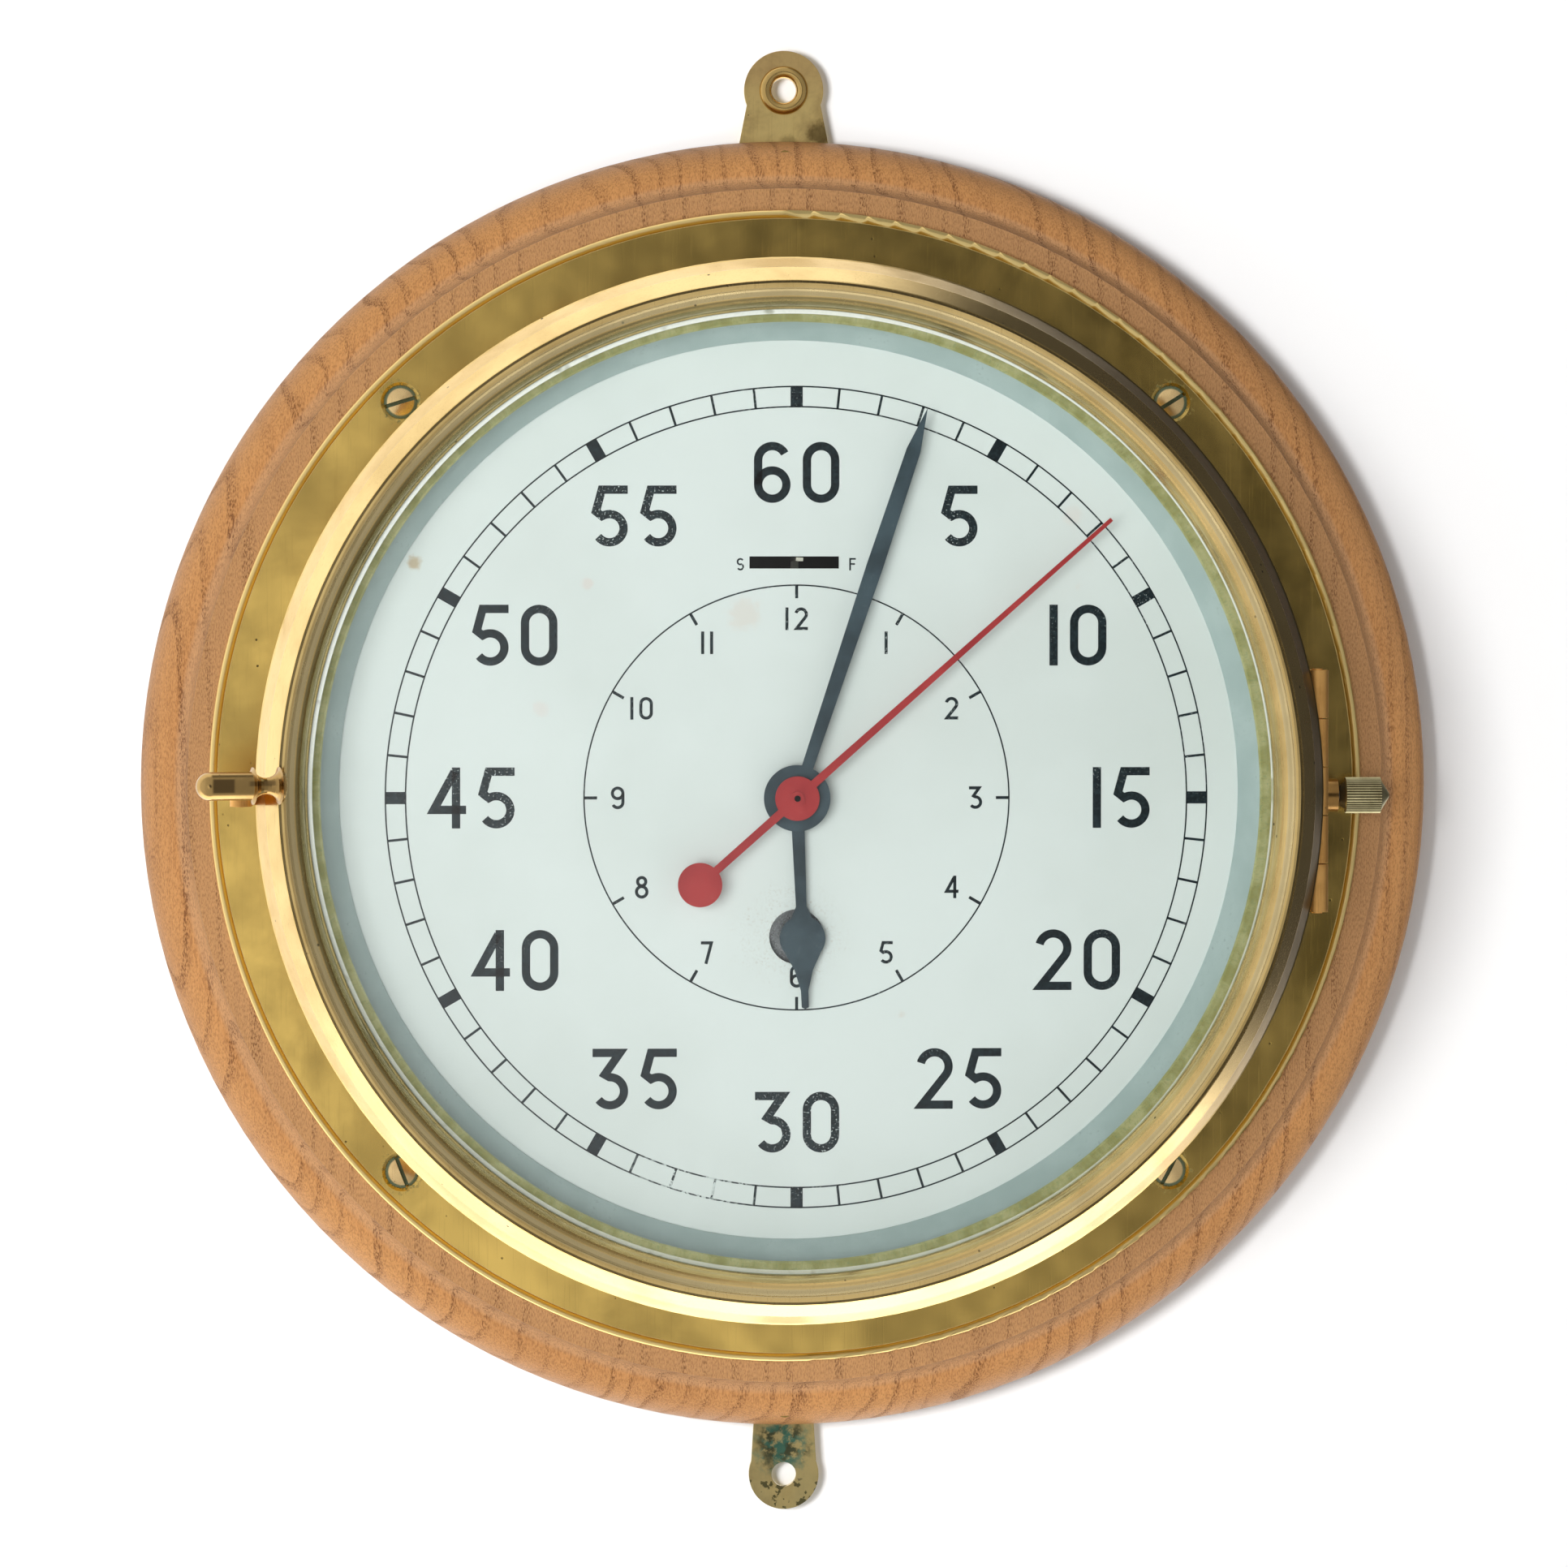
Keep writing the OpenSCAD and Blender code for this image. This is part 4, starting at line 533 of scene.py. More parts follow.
def build_enamel(t):
    """Pale blue-white dial paint, faintly yellowed in places, with a few small brown specks, foxing, and the
    grime that the winding key leaves."""
    at = t.place()
    age = t.noise(at, 16.0, 4.0, 0.55)
    colour = t.mix(t.band(age, 0.35, 0.7), linear(224, 231, 228), linear(216, 223, 219))
    edge = t.plus(t.cells(at, 62.0), t.times(t.noise(at, 900.0, 2.0), 0.08))
    rare = t.band(t.noise(at, 60.0, 1.0), 0.60, 0.66)
    speck = t.times(t.band(edge, 0.06, 0.13, 1.0, 0.0), rare)
    colour = t.tint(colour, speck, 0.35, linear(206, 176, 150))
    for x, y, reach, share, tone in FOXING:
        colour = t.tint(colour, spot(t, at, x, y, DIAL_FACE_Z, reach, 700.0), share, tone)
    grime = t.times(spot(t, at, *KEYHOLE_GRIME), t.band(t.noise(at, 1700.0, 3.0, 0.7), 0.50, 0.72))
    colour = t.tint(colour, grime, 0.45, linear(176, 160, 138))
    dust = t.band(t.noise(at, 2600.0, 2.0, 0.7), 0.70, 0.78)
    colour = t.tint(colour, dust, 0.12, linear(150, 150, 140))
    roughness = t.band(t.noise(at, 45.0, 3.0), 0.3, 0.7, 0.34, 0.46)
    peel = t.noise(at, 900.0, 2.0, 0.5)
    return {"Base Color": colour, "Roughness": roughness, "Normal": t.bump(peel, 0.000004, 0.4)}


RUBBED_TRACK = (-22.0, -90.4, DIAL_FACE_Z, 17.0, 300.0)


def build_ink(t):
    """Blue-black ink, mottled where it was rolled on, with fine chips down to the enamel and a rubbed stretch
    of the minute track."""
    at = t.place()
    mottle = t.noise(at, 1400.0, 3.0, 0.6)
    colour = t.mix(t.band(mottle, 0.35, 0.7), linear(14, 24, 28), linear(34, 48, 53))
    thin = t.noise(t.stretch(at, (1.0, 1.0, 1.0), (0.0, 0.5, 0.0)), 28.0, 2.0, 0.5)
    chips = t.times(t.band(t.noise(at, 2300.0, 2.0, 0.6), 0.60, 0.66), t.band(thin, 0.46, 0.66))
    rubbed = t.times(spot(t, at, *RUBBED_TRACK), t.band(t.noise(at, 1100.0, 4.0, 0.7), 0.47, 0.54))
    colour = t.mix(t.math("MAXIMUM", chips, rubbed), colour, linear(208, 217, 214))
    roughness = t.band(mottle, 0.3, 0.7, 0.45, 0.62)
    return {"Base Color": colour, "Roughness": roughness, "Normal": t.bump(mottle, 0.000004, 0.5)}


def painted(dark, light, rough, grain=1100.0, worn=None, wear=0.5):
    """A builder for plain paint with a fine grain, clouds and specks of wear."""

    def build(t):
        at = t.place()
        cloud = t.noise(at, 90.0, 4.0, 0.6)
        colour = t.mix(t.band(cloud, 0.3, 0.7), dark, light)
        grit = t.noise(at, grain, 3.0, 0.65)
        if worn:
            chip = t.times(t.band(grit, 0.60, 0.68), t.band(cloud, 0.45, 0.65))
            colour = t.tint(colour, chip, wear, worn)
        roughness = t.band(grit, 0.3, 0.7, rough - 0.06, rough + 0.08)
        return {"Base Color": colour, "Roughness": roughness, "Normal": t.bump(grit, 0.00001, 0.5)}

    return build


def build_verdigris(t):
    """Brass under a crust of pale green salts, blotched and powdery."""
    at = t.place()
    cloud = t.noise(at, 260.0, 4.0, 0.6)
    grit = t.noise(at, 1900.0, 3.0, 0.65)
    colour = t.mix(t.band(cloud, 0.35, 0.65), linear(160, 158, 98), linear(188, 186, 132))
    colour = t.tint(colour, t.band(grit, 0.52, 0.66), 0.5, linear(128, 152, 112))
    colour = t.tint(colour, t.band(grit, 0.42, 0.32), 0.4, linear(112, 106, 70))
    roughness = t.band(grit, 0.3, 0.7, 0.55, 0.75)
    return {"Base Color": colour, "Roughness": roughness, "Normal": t.bump(grit, 0.00003, 0.8)}


def build_ground_edge(t):
    """The painted highlight along the glass's bevel: pale and powdery, like a ground edge."""
    grit = t.noise(t.place(), 1500.0, 3.0, 0.6)
    shade = t.mix(grit, linear(238, 243, 236), linear(212, 222, 214))
    return {"Base Color": shade, "Roughness": t.band(grit, 0.3, 0.7, 0.5, 0.7)}


FILM_ROUGH = 0.012


def build_glass(t):
    """Clear glass with the faintest film of dust and polish marks in its roughness."""
    film = t.band(t.noise(t.place(), 35.0, 4.0, 0.6, 0.4), 0.45, 0.8, 0.0, FILM_ROUGH)
    shade = t.mix(t.band(film, 0.0, FILM_ROUGH), (0.965, 0.985, 0.978, 1.0), (0.955, 0.98, 0.972, 1.0))
    return {"Roughness": film, "Base Color": shade}


BEVEL_INNER, BEVEL_OUTER, GLASS_TOP = (0.1068, 0.1070), (0.1078, 0.1080), (0.0624, 0.0626)


def glass_material():
    """Glass that lets the lights' own rays straight through, so that the dial behind it is lit evenly, with a
    pale ground-looking line painted along its bevel as its highlight, broken in places and fainter towards
    the bottom."""
    made = material("clear_glass", build_glass, Transmission_Weight=1.0, IOR=1.5)
    t = Tree(made.node_tree)
    nodes = made.node_tree.nodes
    rays = t.node("ShaderNodeLightPath").outputs
    through = t.math("MAXIMUM", rays["Is Shadow Ray"], rays["Is Diffuse Ray"])
    clear = t.add("ShaderNodeBsdfTransparent", {"Color": (0.96, 0.975, 0.97, 1.0)})
    both = t.add("ShaderNodeMixShader", {0: through, 1: nodes["Principled BSDF"].outputs[0], 2: clear})
    ground = t.add("ShaderNodeBsdfPrincipled", build_ground_edge(t))
    at = t.place()
    x, _, z = t.split(at)
    case = t.group(round_axis, Place=at)
    # Painted highlight: a pale line along the bevel, wider to the right, broken by noise and fainter towards
    # the bottom
    wider_right = t.band(x, 0.0, 0.08, 0.0, 0.0006)
    line = t.times(
        t.band(t.math("SUBTRACT", case["Radius"], wider_right), *BEVEL_INNER),
        t.band(case["Radius"], *BEVEL_OUTER, 1.0, 0.0),
        t.band(case["Out"], *GLASS_TOP),
    )
    worn = t.band(t.noise(at, 150.0, 2.0, 0.5), 0.30, 0.40, 0.45, 1.0)
    edge = t.times(line, worn, t.band(z, -0.06, 0.03, 0.50, 1.0))
    surface = t.add("ShaderNodeMixShader", {0: edge, 1: both, 2: ground})
    made.node_tree.links.new(surface, nodes["Material Output"].inputs["Surface"])
    return made


MOVEMENT_BRASS = {
    "clean": linear(226, 190, 110), "dull": linear(176, 142, 76), "rough": 0.26, "tarnish": 0.4, "ring": 0.3,
    "pits": 300.0, "scratch": 0.2, "size": 2.0,
}
finish = {
    "wood": material("oiled_oak", build_wood, Specular_IOR_Level=0.35),
    "flange": brass(
        "flange_brass", linear(232, 196, 108), linear(176, 148, 82), 0.14, tarnish=0.5, ring=0.03, pits=300.0,
        scratch=0.06, extra=case_wear, waves=(34.0, 30.0)),
    "bezel": brass(
        "bezel_brass", linear(240, 208, 140), linear(182, 150, 86), 0.16, tarnish=0.5, ring=0.06, pits=260.0,
        scratch=0.2, extra=bezel_wear),
    "lever": brass(
        "polished_lever", linear(190, 156, 98), linear(146, 114, 66), 0.15, tarnish=0.35, pits=500.0,
        scratch=0.15, size=2.0, extra=lever_browning, bevel=0.12),
    "bush": brass(
        "browned_bronze", linear(158, 120, 68), linear(96, 70, 40), 0.16, pits=500.0, scratch=0.15, size=3.0,
        bevel=0.12),
    "knob": brass(
        "knurled_brass", linear(222, 212, 164), linear(164, 152, 114), 0.34, tarnish=0.7, pits=600.0,
        scratch=0.2, size=2.5, extra=knurl_dirt),
    "hinge": brass(
        "hinge_brass", linear(250, 196, 118), linear(200, 150, 84), 0.50, scratch=0.3, size=2.0, bevel=0.1),
    "ear": brass(
        "hanger_brass", linear(238, 210, 138), linear(178, 152, 102), 0.36, tarnish=0.8, pits=480.0,
        scratch=0.15, size=3.0, extra=ear_stains, bevel=0.2),
    "eyelet": brass(
        "eyelet_brass", linear(214, 180, 112), linear(150, 122, 72), 0.20, tarnish=0.5, pits=300.0,
        scratch=0.05, size=1.5),
    "screw": brass(
        "screw_bronze", linear(250, 216, 154), linear(190, 150, 98), 0.26, tarnish=0.5, pits=700.0,
        scratch=0.2, size=4.0, extra=screw_salts),
    "small_screw": brass(
        "small_screw_brass", linear(214, 180, 108), linear(120, 98, 56), 0.30, pits=700.0, scratch=0.3,
        size=4.0),
    "train_brass": brass("movement_brass", **MOVEMENT_BRASS),
    "arbor": brass("arbor_brass", extra=arbor_tip, **MOVEMENT_BRASS),
    "dark_brass": material("verdigris_brass", build_verdigris, metallic=0.15),
    # Painted shade: the movement's front plate and the winding arbor are dark, so that the slot and the
    # winding hole look dark
    "shade_dark_plate": material(
        "plate_painted_shade_dark", painted(linear(38, 48, 52), linear(50, 62, 68), 0.6, 500.0), metallic=0.1),
    "shade_dark_steel": material(
        "arbor_painted_shade_dark", painted(linear(46, 58, 66), linear(56, 70, 78), 0.6, 400.0), metallic=0.1),
    "index": material(
        "index_nickel",
        painted(linear(206, 204, 188), linear(226, 224, 208), 0.4, 1600.0, linear(150, 140, 110)),
        metallic=0.3),
    "rubber": material(
        "seal_rubber", painted(linear(34, 34, 33), linear(52, 51, 48), 0.75, 900.0), Specular_IOR_Level=0.35),
    "grey": material(
        "surround_paint",
        painted(linear(164, 182, 179), linear(176, 193, 190), 0.46, 1300.0, linear(126, 140, 138))),
    "enamel": material("dial_enamel", build_enamel, Specular_IOR_Level=0.4),
    "ink": material("dial_ink", build_ink, Specular_IOR_Level=0.2),
    # The hands' black is lightened to slate: a painted sheen
    "black": material(
        "hand_black_painted_sheen",
        painted(linear(36, 50, 57), linear(62, 79, 87), 0.34, 1500.0, linear(92, 106, 110), 0.4)),
    "red": material(
        "hand_red",
        painted(linear(156, 34, 38), linear(174, 50, 50), 0.40, 1400.0, linear(200, 120, 110), 0.35)),
    "steel": material(
        "bright_steel",
        painted(linear(176, 178, 180), linear(196, 198, 200), 0.28, 1600.0, linear(120, 112, 102)),
        metallic=1.0),
    "blue": material(
        "blued_steel",
        painted(linear(34, 44, 92), linear(54, 66, 122), 0.26, 1500.0, linear(92, 84, 110), 0.4),
        metallic=1.0),
    "glass": glass_material(),
}

FINISHED_AS = {
    "wood": ["wood_backboard"],
    "ear": ["top_hanger", "bottom_hanger"],
    "eyelet": ["hanger_eyelet"],
    "flange": ["case_body"],
    "screw": ["flange_screws"],
    "small_screw": [
        "hanger_screws", "side_screws", "surround_screws", "cock_screws", "pillar_screws", "click_screw"],
    "rubber": ["rim_gasket"],
    "grey": ["surround_ring"],
    "bezel": ["bezel_ring"],
    "glass": ["glass"],
    "dark_brass": ["glass_retaining_ring"],
    "hinge": ["hinge_case_leaf", "hinge_bezel_leaf", "hinge_pin", "latch_block", "latch_pin"],
    "lever": ["latch_lever"],
    "bush": ["stop_bush"],
    "knob": ["stop_knob"],
    "enamel": ["dial_plate"],
    "black": ["hour_hand", "minute_hand"],
    "red": ["seconds_hand"],
    "train_brass": [
        "dial_feet", "back_plate", "plate_pillars", "movement_posts", "barrel", "barrel_cover",
        "intermediate_wheel", "centre_wheel", "third_wheel", "escape_wheel", "escapement_bridge",
        "balance_wheel", "balance_cock", "minute_wheel", "hour_wheel"],
    "steel": ["stop_spindle", "ratchet_wheel", "pallet_lever", "cannon_pinion", "minute_wheel_post"],
    "shade_dark_plate": ["front_plate"],
    "index": ["regulator_index"],
    "arbor": ["seconds_wheel"],
    "shade_dark_steel": ["winding_arbor"],
    "blue": ["mainspring", "click", "click_spring", "hairspring"],
}
for kind, names in FINISHED_AS.items():
    for name in names:
        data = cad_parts[name].data
        data.materials.clear()
        data.materials.append(finish[kind])


# ---------------------------------------------------------------- the dial's print


def stand(points):
    """Points in the clock's millimetres as Blender's metres: x stays, y goes up, z comes forward."""
    p = np.asarray(points, float)
    return np.stack([p[:, 0], -p[:, 2], p[:, 1]], 1) * MM


def turned_arc(centre, radius, start, end, steps=24):
    """Points on a circle from one angle to another, in degrees."""
    a = np.radians(np.linspace(start, end, steps + 1))
    return np.stack([centre[0] + radius * np.cos(a), centre[1] + radius * np.sin(a)], 1)


SHARPEST_MITRE = 0.35


def ribbon(path, width, closed=False):
    """A flat stroke along a path: each point is set off half the width to each side, mitred at the corners.

    Returns its left and right edges."""
    p = np.asarray(path, float)
    before = np.roll(p, 1, 0) if closed else np.vstack([2 * p[0] - p[1], p[:-1]])
    after = np.roll(p, -1, 0) if closed else np.vstack([p[1:], 2 * p[-1] - p[-2]])
    a = (p - before) / np.linalg.norm(p - before, axis=1)[:, None]
    b = (after - p) / np.linalg.norm(after - p, axis=1)[:, None]
    na, nb = np.stack([-a[:, 1], a[:, 0]], 1), np.stack([-b[:, 1], b[:, 0]], 1)
    mitre = na + nb
    mitre /= np.linalg.norm(mitre, axis=1)[:, None]
    reach = width / 2 / np.maximum((mitre * nb).sum(1), SHARPEST_MITRE)
    return p + mitre * reach[:, None], p - mitre * reach[:, None]


INK_TOP_Z, INK_FOOT_Z = DIAL_FACE_Z + 0.02, DIAL_FACE_Z - 0.01


class Print:
    """Collects flat strokes and makes them one thin mesh on the dial."""

    def __init__(self):
        self.points, self.faces, self.count = [], [], 0

    def stroke(self, path, width, closed=False):
        """Adds one stroke as a closed slab: its left and right edges at the top, and the same below."""
        left, right = ribbon(path, width, closed)
        n = len(left)
        rails = ((left, INK_TOP_Z), (right, INK_TOP_Z), (right, INK_FOOT_Z), (left, INK_FOOT_Z))
        self.points.append(np.vstack([np.column_stack([edge, np.full(n, z)]) for edge, z in rails]))
        i = np.arange(n if closed else n - 1)
        j = (i + 1) % n
        for k in range(4):
            m = (k + 1) % 4
            self.faces.append(np.stack([k * n + i, k * n + j, m * n + j, m * n + i], 1) + self.count)
        if not closed:
            ends = np.array([[0, n, 2 * n, 3 * n], [4 * n - 1, 3 * n - 1, 2 * n - 1, n - 1]])
            self.faces.append(ends + self.count)
        self.count += 4 * n

    def ring(self, radius, width):
        """Adds a line all round the dial."""
        self.stroke(turned_arc(DIAL_CENTRE, radius, 0, 360, 360)[:-1], width, True)

    def ray(self, clock_angle, inner, outer, width):
        """Adds a straight mark that points at the pivot, at a clockwise angle from twelve."""
        a = math.radians(90 - clock_angle)
        way = np.array([math.cos(a), math.sin(a)])
        self.stroke([np.array(DIAL_CENTRE) + way * r for r in (inner, outer)], width)

    def word(self, word, clock_angle, radius, height, gap=0.2):
        """Adds upright characters centred at a clockwise angle and a distance from the pivot."""
        a = math.radians(90 - clock_angle)
        x, y = DIAL_CENTRE[0] + radius * math.cos(a), DIAL_CENTRE[1] + radius * math.sin(a)
        self.line(word, x, y, height, gap)

    def line(self, word, x, y, height, gap=0.2):
        """Adds upright characters centred at a place; gap is the space between them, in heights."""
        widths = [GLYPHS[c][0] for c in word]
        left = -(sum(widths) + gap * (len(word) - 1)) / 2
        for c, w in zip(word, widths):
            for path, closed in GLYPHS[c][1]:
                shifted = np.array([x, y]) + (np.asarray(path) + (left + w / 2, 0)) * height
                self.stroke(shifted, STROKE * height, closed)
            left += w + gap

    def mesh(self, name):
        """Makes the object, with its faces outwards, riding on the case."""
        data = bpy.data.meshes.new(name)
        data.from_pydata(stand(np.vstack(self.points)).tolist(), [], np.vstack(self.faces).tolist())
        data.validate()
        made = bpy.data.objects.new(name, data)
        bpy.context.scene.collection.objects.link(made)
        data.materials.append(finish["ink"])
        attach(made, "case")


# The characters are strokes, one unit high between their outer edges: the strokes' width, half the height
# and half the width of a bowl between centre lines, and the centres of the upper and lower bowls
STROKE = 0.137
HIGH, WIDE = 0.4315, 0.2315
TOP, LOW = (0.0, HIGH - WIDE), (0.0, WIDE - HIGH)
SMALL_BOWL_Y, SMALL_BOWL = 0.25, 0.1815  # the upper bowl of an 8
S_BOWL_Y, S_BOWL = 0.205, 0.2265


def six():
    """The open top, the straight back and the round bowl of a 6."""
    back = np.vstack([turned_arc(TOP, WIDE, 28, 180), [(-WIDE, LOW[1])]])
    return [(back, False), (turned_arc(LOW, WIDE, 0, 360, 48)[:-1], True)]


def nine():
    """A 6 turned half round, with its open stroke drawn from the other end."""
    return [(-path if closed else -path[::-1], closed) for path, closed in six()]


def eight():
    """A small bowl on a large one."""
    small = turned_arc((0, SMALL_BOWL_Y), SMALL_BOWL, 0, 360, 40)[:-1]
    return [(small, True), (turned_arc(LOW, WIDE, 0, 360, 48)[:-1], True)]


def nought():
    """Two half circles joined by straight sides."""
    return [(np.vstack([turned_arc(TOP, WIDE, 0, 180), turned_arc(LOW, WIDE, 180, 360)]), True)]


def ess():
    """An upper bowl open to the right, running into a lower one open to the left."""
    upper = turned_arc((0, S_BOWL_Y), S_BOWL, 30, 270, 16)
    return [(np.vstack([upper, turned_arc((0, -S_BOWL_Y), S_BOWL, 90, -150, 16)[1:]]), False)]


def bowl_below(start, corners):
    """A 3 or a 5: straight strokes through its corners, and then a bowl open to the left."""
    return [(np.vstack([corners, turned_arc(LOW, WIDE, start, -143)]), False)]


GLYPHS = {  # each character's width, and its strokes with whether each is closed
    "0": (0.6, nought()),
    "1": (STROKE, [([(0, -0.5), (0, 0.5)], False)]),
    "2": (0.6, [(np.vstack([turned_arc(TOP, WIDE, 166, -38), [(-0.205, -HIGH), (0.3, -HIGH)]]), False)]),
    "3": (0.6, bowl_below(92, [(-0.285, HIGH), (0.165, HIGH), (-0.085, 0.075)])),
    "4": (0.62, [
        ([(0.15, -0.5), (0.15, 0.5)], False),
        ([(0.125, 0.43), (-0.215, -0.195), (0.315, -0.195)], False)]),
    "5": (0.6, bowl_below(122, [(0.3, HIGH), (-0.125, HIGH), (-0.222, 0.075)])),
    "6": (0.6, six()),
    "7": (0.58, [([(-0.28, HIGH), (0.185, HIGH), (-0.06, -0.5)], False)]),
    "8": (0.6, eight()),
    "9": (0.6, nine()),
    "S": (0.6, ess()),
    "F": (0.55, [
        ([(0.27, HIGH), (-0.19, HIGH), (-0.19, -0.5)], False),
        ([(-0.19, 0.02), (0.2, 0.02)], False)]),
}

# Sizes of the print, in millimetres
TRACK_OUT, TRACK_IN, LINE_W = 92.75, 88.2, 0.34
TICK_W, BLOCK_W = 0.56, 2.75
NUMERAL_R, NUMERAL_H = 73.4, 13.75
HOUR_RING_R, HOUR_TICK, HOUR_TICK_W = 47.98, 2.95, 0.68
HOUR_NUMERAL_R, HOUR_NUMERAL_H, HOUR_NUMERAL_GAP = 40.4, 5.1, 0.26
SETTING_X, SETTING_Y, SETTING_H = (-12.7, 12.6), 52.7, 2.8

minute_print = Print()
minute_print.ring(TRACK_OUT, LINE_W)
minute_print.ring(TRACK_IN, LINE_W)
for minute in range(60):
    minute_print.ray(minute * 6, TRACK_IN, TRACK_OUT, BLOCK_W if minute % 5 == 0 else TICK_W)
for minute in range(5, 65, 5):
    minute_print.word(str(minute), minute * 6, NUMERAL_R, NUMERAL_H)
minute_print.mesh("dial_print_minutes")

hour_print = Print()
hour_print.ring(HOUR_RING_R, LINE_W)
for hour in range(1, 13):
    hour_print.ray(hour * 30, HOUR_RING_R - HOUR_TICK, HOUR_RING_R, HOUR_TICK_W)
    hour_print.word(str(hour), hour * 30, HOUR_NUMERAL_R, HOUR_NUMERAL_H, HOUR_NUMERAL_GAP)
hour_print.mesh("dial_print_hours")

setting_print = Print()
for letter, x in zip("SF", SETTING_X):
    setting_print.line(letter, DIAL_CENTRE[0] + x, DIAL_CENTRE[1] + SETTING_Y, SETTING_H)
setting_print.mesh("dial_print_setting")


# ---------------------------------------------------------------- wall, floor, light and camera


SHORT_RAY = 0.03  # metres: rays this short, from a surface against the wall, pass through it


def stage_material():
    """Matt white that is only there from its front: mirrored rays and the shortest ones pass through it."""
    made = bpy.data.materials.new("stage_white")
    made.use_nodes = True
    t = Tree(made.node_tree)
    nodes = made.node_tree.nodes
    shader = nodes["Principled BSDF"]
    shader.inputs["Base Color"].default_value = (0.91, 0.91, 0.91, 1.0)
    shader.inputs["Roughness"].default_value = 0.9
    shader.inputs["Specular IOR Level"].default_value = 0.1
    rays = t.node("ShaderNodeLightPath").outputs
    backfacing = t.add("ShaderNodeNewGeometry", out="Backfacing")
    not_camera = t.math("SUBTRACT", 1.0, rays["Is Camera Ray"])
    short = t.times(t.math("LESS_THAN", rays["Ray Length"], SHORT_RAY), not_camera)
    through = t.math("MAXIMUM", t.math("MAXIMUM", backfacing, short), rays["Is Glossy Ray"])
    clear = t.add("ShaderNodeBsdfTransparent")
    both = t.add("ShaderNodeMixShader", {0: through, 1: shader.outputs[0], 2: clear})
    made.node_tree.links.new(both, nodes["Material Output"].inputs["Surface"])
    return made


def stage_plane(name, corners, shade):
    """A flat stage piece from its four corners, in metres, anticlockwise from its front."""
    data = bpy.data.meshes.new(name)
    data.from_pydata(corners, [], [(0, 1, 2, 3)])
    made = bpy.data.objects.new(name, data)
    bpy.context.scene.collection.objects.link(made)
    data.materials.append(shade)
    return made


WALL_Y, FLOOR_Z, SPAN = 0.001, -0.34, 4.0
WALL = [(-SPAN, WALL_Y, FLOOR_Z), (SPAN, WALL_Y, FLOOR_Z), (SPAN, WALL_Y, SPAN), (-SPAN, WALL_Y, SPAN)]
FLOOR = [(-SPAN, -SPAN, FLOOR_Z), (SPAN, -SPAN, FLOOR_Z), (SPAN, SPAN, FLOOR_Z), (-SPAN, SPAN, FLOOR_Z)]
white = stage_material()
stage = [stage_plane("wall", WALL, white), stage_plane("floor", FLOOR, white)]

SEEN_ROOM = 0.93  # the room's brightness to the camera
FRONT_CONE, FRONT_HALF = (0.93, 0.985), (-0.10, 0.22)  # how far forward a ray goes, for each part of the room


def light_room():
    """What the brass mirrors: straight ahead a bright lower left and a dark upper right, an even grey around
    that, and past the clock's edge a bright room with a dark corner to the right. Matt surfaces get more of
    it from the front and the right than from above and below. The camera sees it pale."""
    world = bpy.data.worlds.new("studio")
    bpy.context.scene.world = world
    world.use_nodes = True
    t = Tree(world.node_tree)
    way = t.vector("NORMALIZE", t.add("ShaderNodeTexCoord", out="Generated"))
    x, y, z = t.split(way)
    ahead = t.band(t.towards(way, KEY_SIDE), -0.08, 0.10, 0.05, 1.0)
    around = t.math("SUBTRACT", t.band(x, -0.95, -0.2, 0.88, 0.62), t.band(x, 0.15, 0.5, 0.0, 0.22))
    bright = t.band(z, -0.85, -0.25, 2.7, 1.35)
    behind = t.band(t.towards(way, DARK_SIDE), 0.36, 0.58, bright, 0.07)
    front = t.times(y, -1.0)
    mirrored = t.blend(t.band(front, *FRONT_CONE), t.blend(t.band(front, *FRONT_HALF), behind, around), ahead)
    from_below = t.band(z, -0.8, -0.1, 0.25, 1.0)
    upright = t.times(t.band(z, -0.05, 0.7, 1.0, 0.12), from_below, t.band(x, 0.1, 0.9, 1.0, 2.2))
    rays = t.node("ShaderNodeLightPath").outputs
    total = t.times(mirrored, t.blend(rays["Is Glossy Ray"], upright, 1.0))
    total = t.blend(rays["Is Camera Ray"], total, SEEN_ROOM)
    grey = t.add("ShaderNodeCombineXYZ", {0: total, 1: total, 2: total})
    world.node_tree.links.new(grey, world.node_tree.nodes["Background"].inputs["Color"])


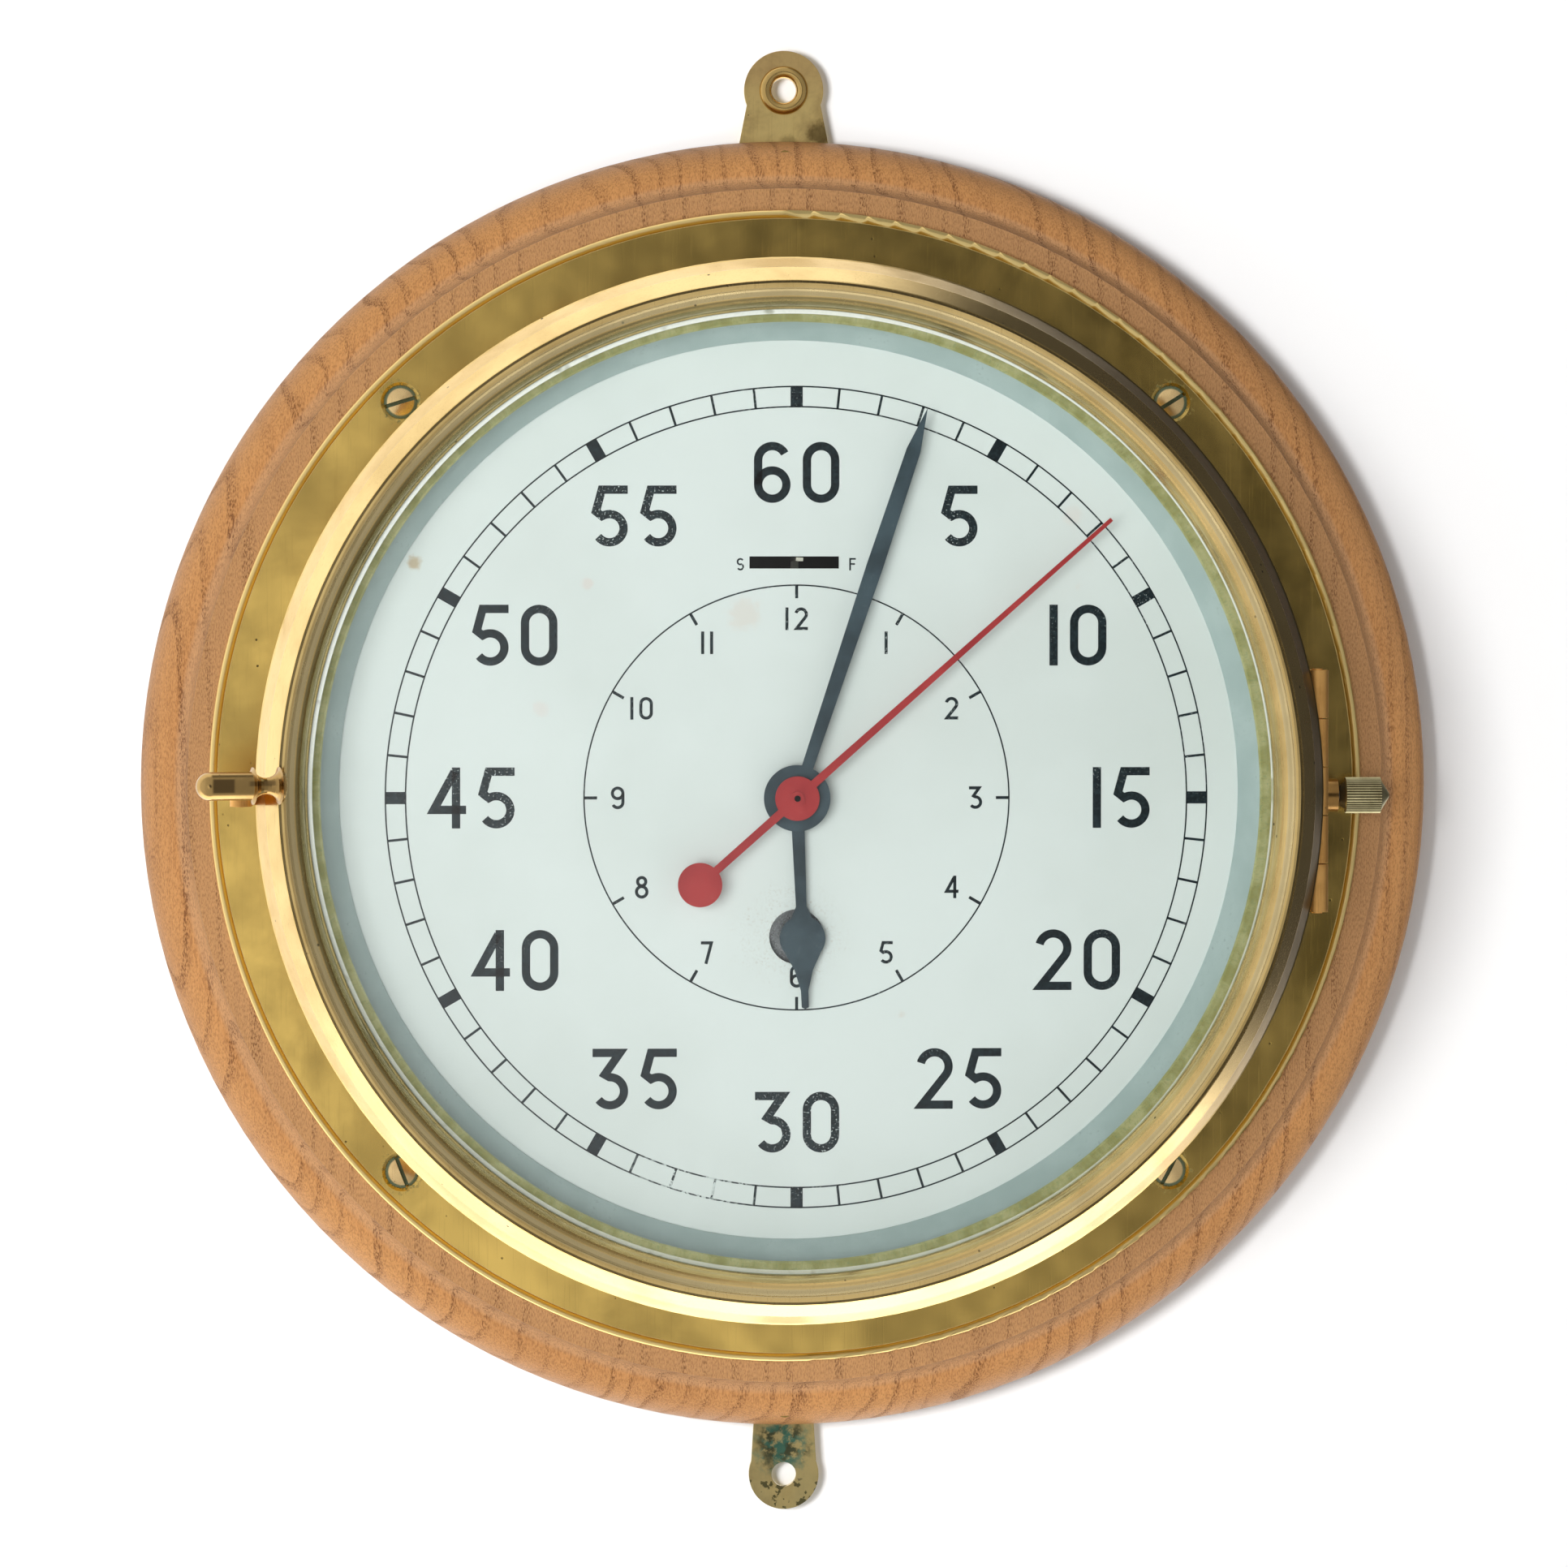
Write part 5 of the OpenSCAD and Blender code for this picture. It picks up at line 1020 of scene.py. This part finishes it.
LAMP_AIM, LAMP_DISTANCE = (0.0, -0.03, 0.0), 1.7  # metres


def collected(name, objects):
    """A collection of some objects, for lights to include or leave out."""
    made = bpy.data.collections.new(name)
    for one in objects:
        made.objects.link(one)
    return made


def hang_lamp(name, direction, size, strength, receivers):
    """A square soft lamp for the receivers: it lights matt surfaces and casts the shadows, while polished
    ones mirror the room instead."""
    data = bpy.data.lights.new(name, "AREA")
    data.shape = "SQUARE"
    data.size = size
    data.energy = strength * LAMP_DISTANCE ** 2
    lamp = bpy.data.objects.new(name, data)
    bpy.context.scene.collection.objects.link(lamp)
    way = Vector(direction).normalized()
    lamp.location = Vector(LAMP_AIM) + way * LAMP_DISTANCE
    lamp.rotation_mode = "QUATERNION"
    lamp.rotation_quaternion = way.to_track_quat("Z", "Y")
    lamp.visible_camera = False
    lamp.visible_glossy = False
    lamp.visible_transmission = False
    lamp.light_linking.receiver_collection = receivers


def take_camera():
    """The photograph's camera: 1.6 m out, a little to the left and above, with a long lens."""
    azimuth, elevation, distance = math.radians(-1.6), math.radians(1.75), 1.6
    target = Vector((-0.00111, -0.045, 0.00152))
    level = math.cos(elevation)
    back = Vector((math.sin(azimuth) * level, -math.cos(azimuth) * level, math.sin(elevation)))
    data = bpy.data.cameras.new("camera")
    data.lens = 162.56
    data.sensor_width = 36.0
    data.clip_start, data.clip_end = 0.05, 50.0
    camera = bpy.data.objects.new("camera", data)
    bpy.context.scene.collection.objects.link(camera)
    camera.location = target + back * distance
    camera.rotation_mode = "QUATERNION"
    camera.rotation_quaternion = (-back).to_track_quat("-Z", "Y")
    bpy.context.scene.camera = camera


light_room()
stage_only = collected("stage_set", stage)
all_but_stage = collected("apart_from_clock", stage)
hang_lamp("wall_lamp", (-0.46, -0.89, 0.05), size=0.48, strength=9.0, receivers=stage_only)
hang_lamp("clock_lamp", (-0.28, -0.96, -0.06), size=1.0, strength=9.3, receivers=all_but_stage)
for link in all_but_stage.collection_objects:
    link.light_linking.link_state = "EXCLUDE"
take_camera()
bpy.context.scene.view_settings.view_transform = "Standard"
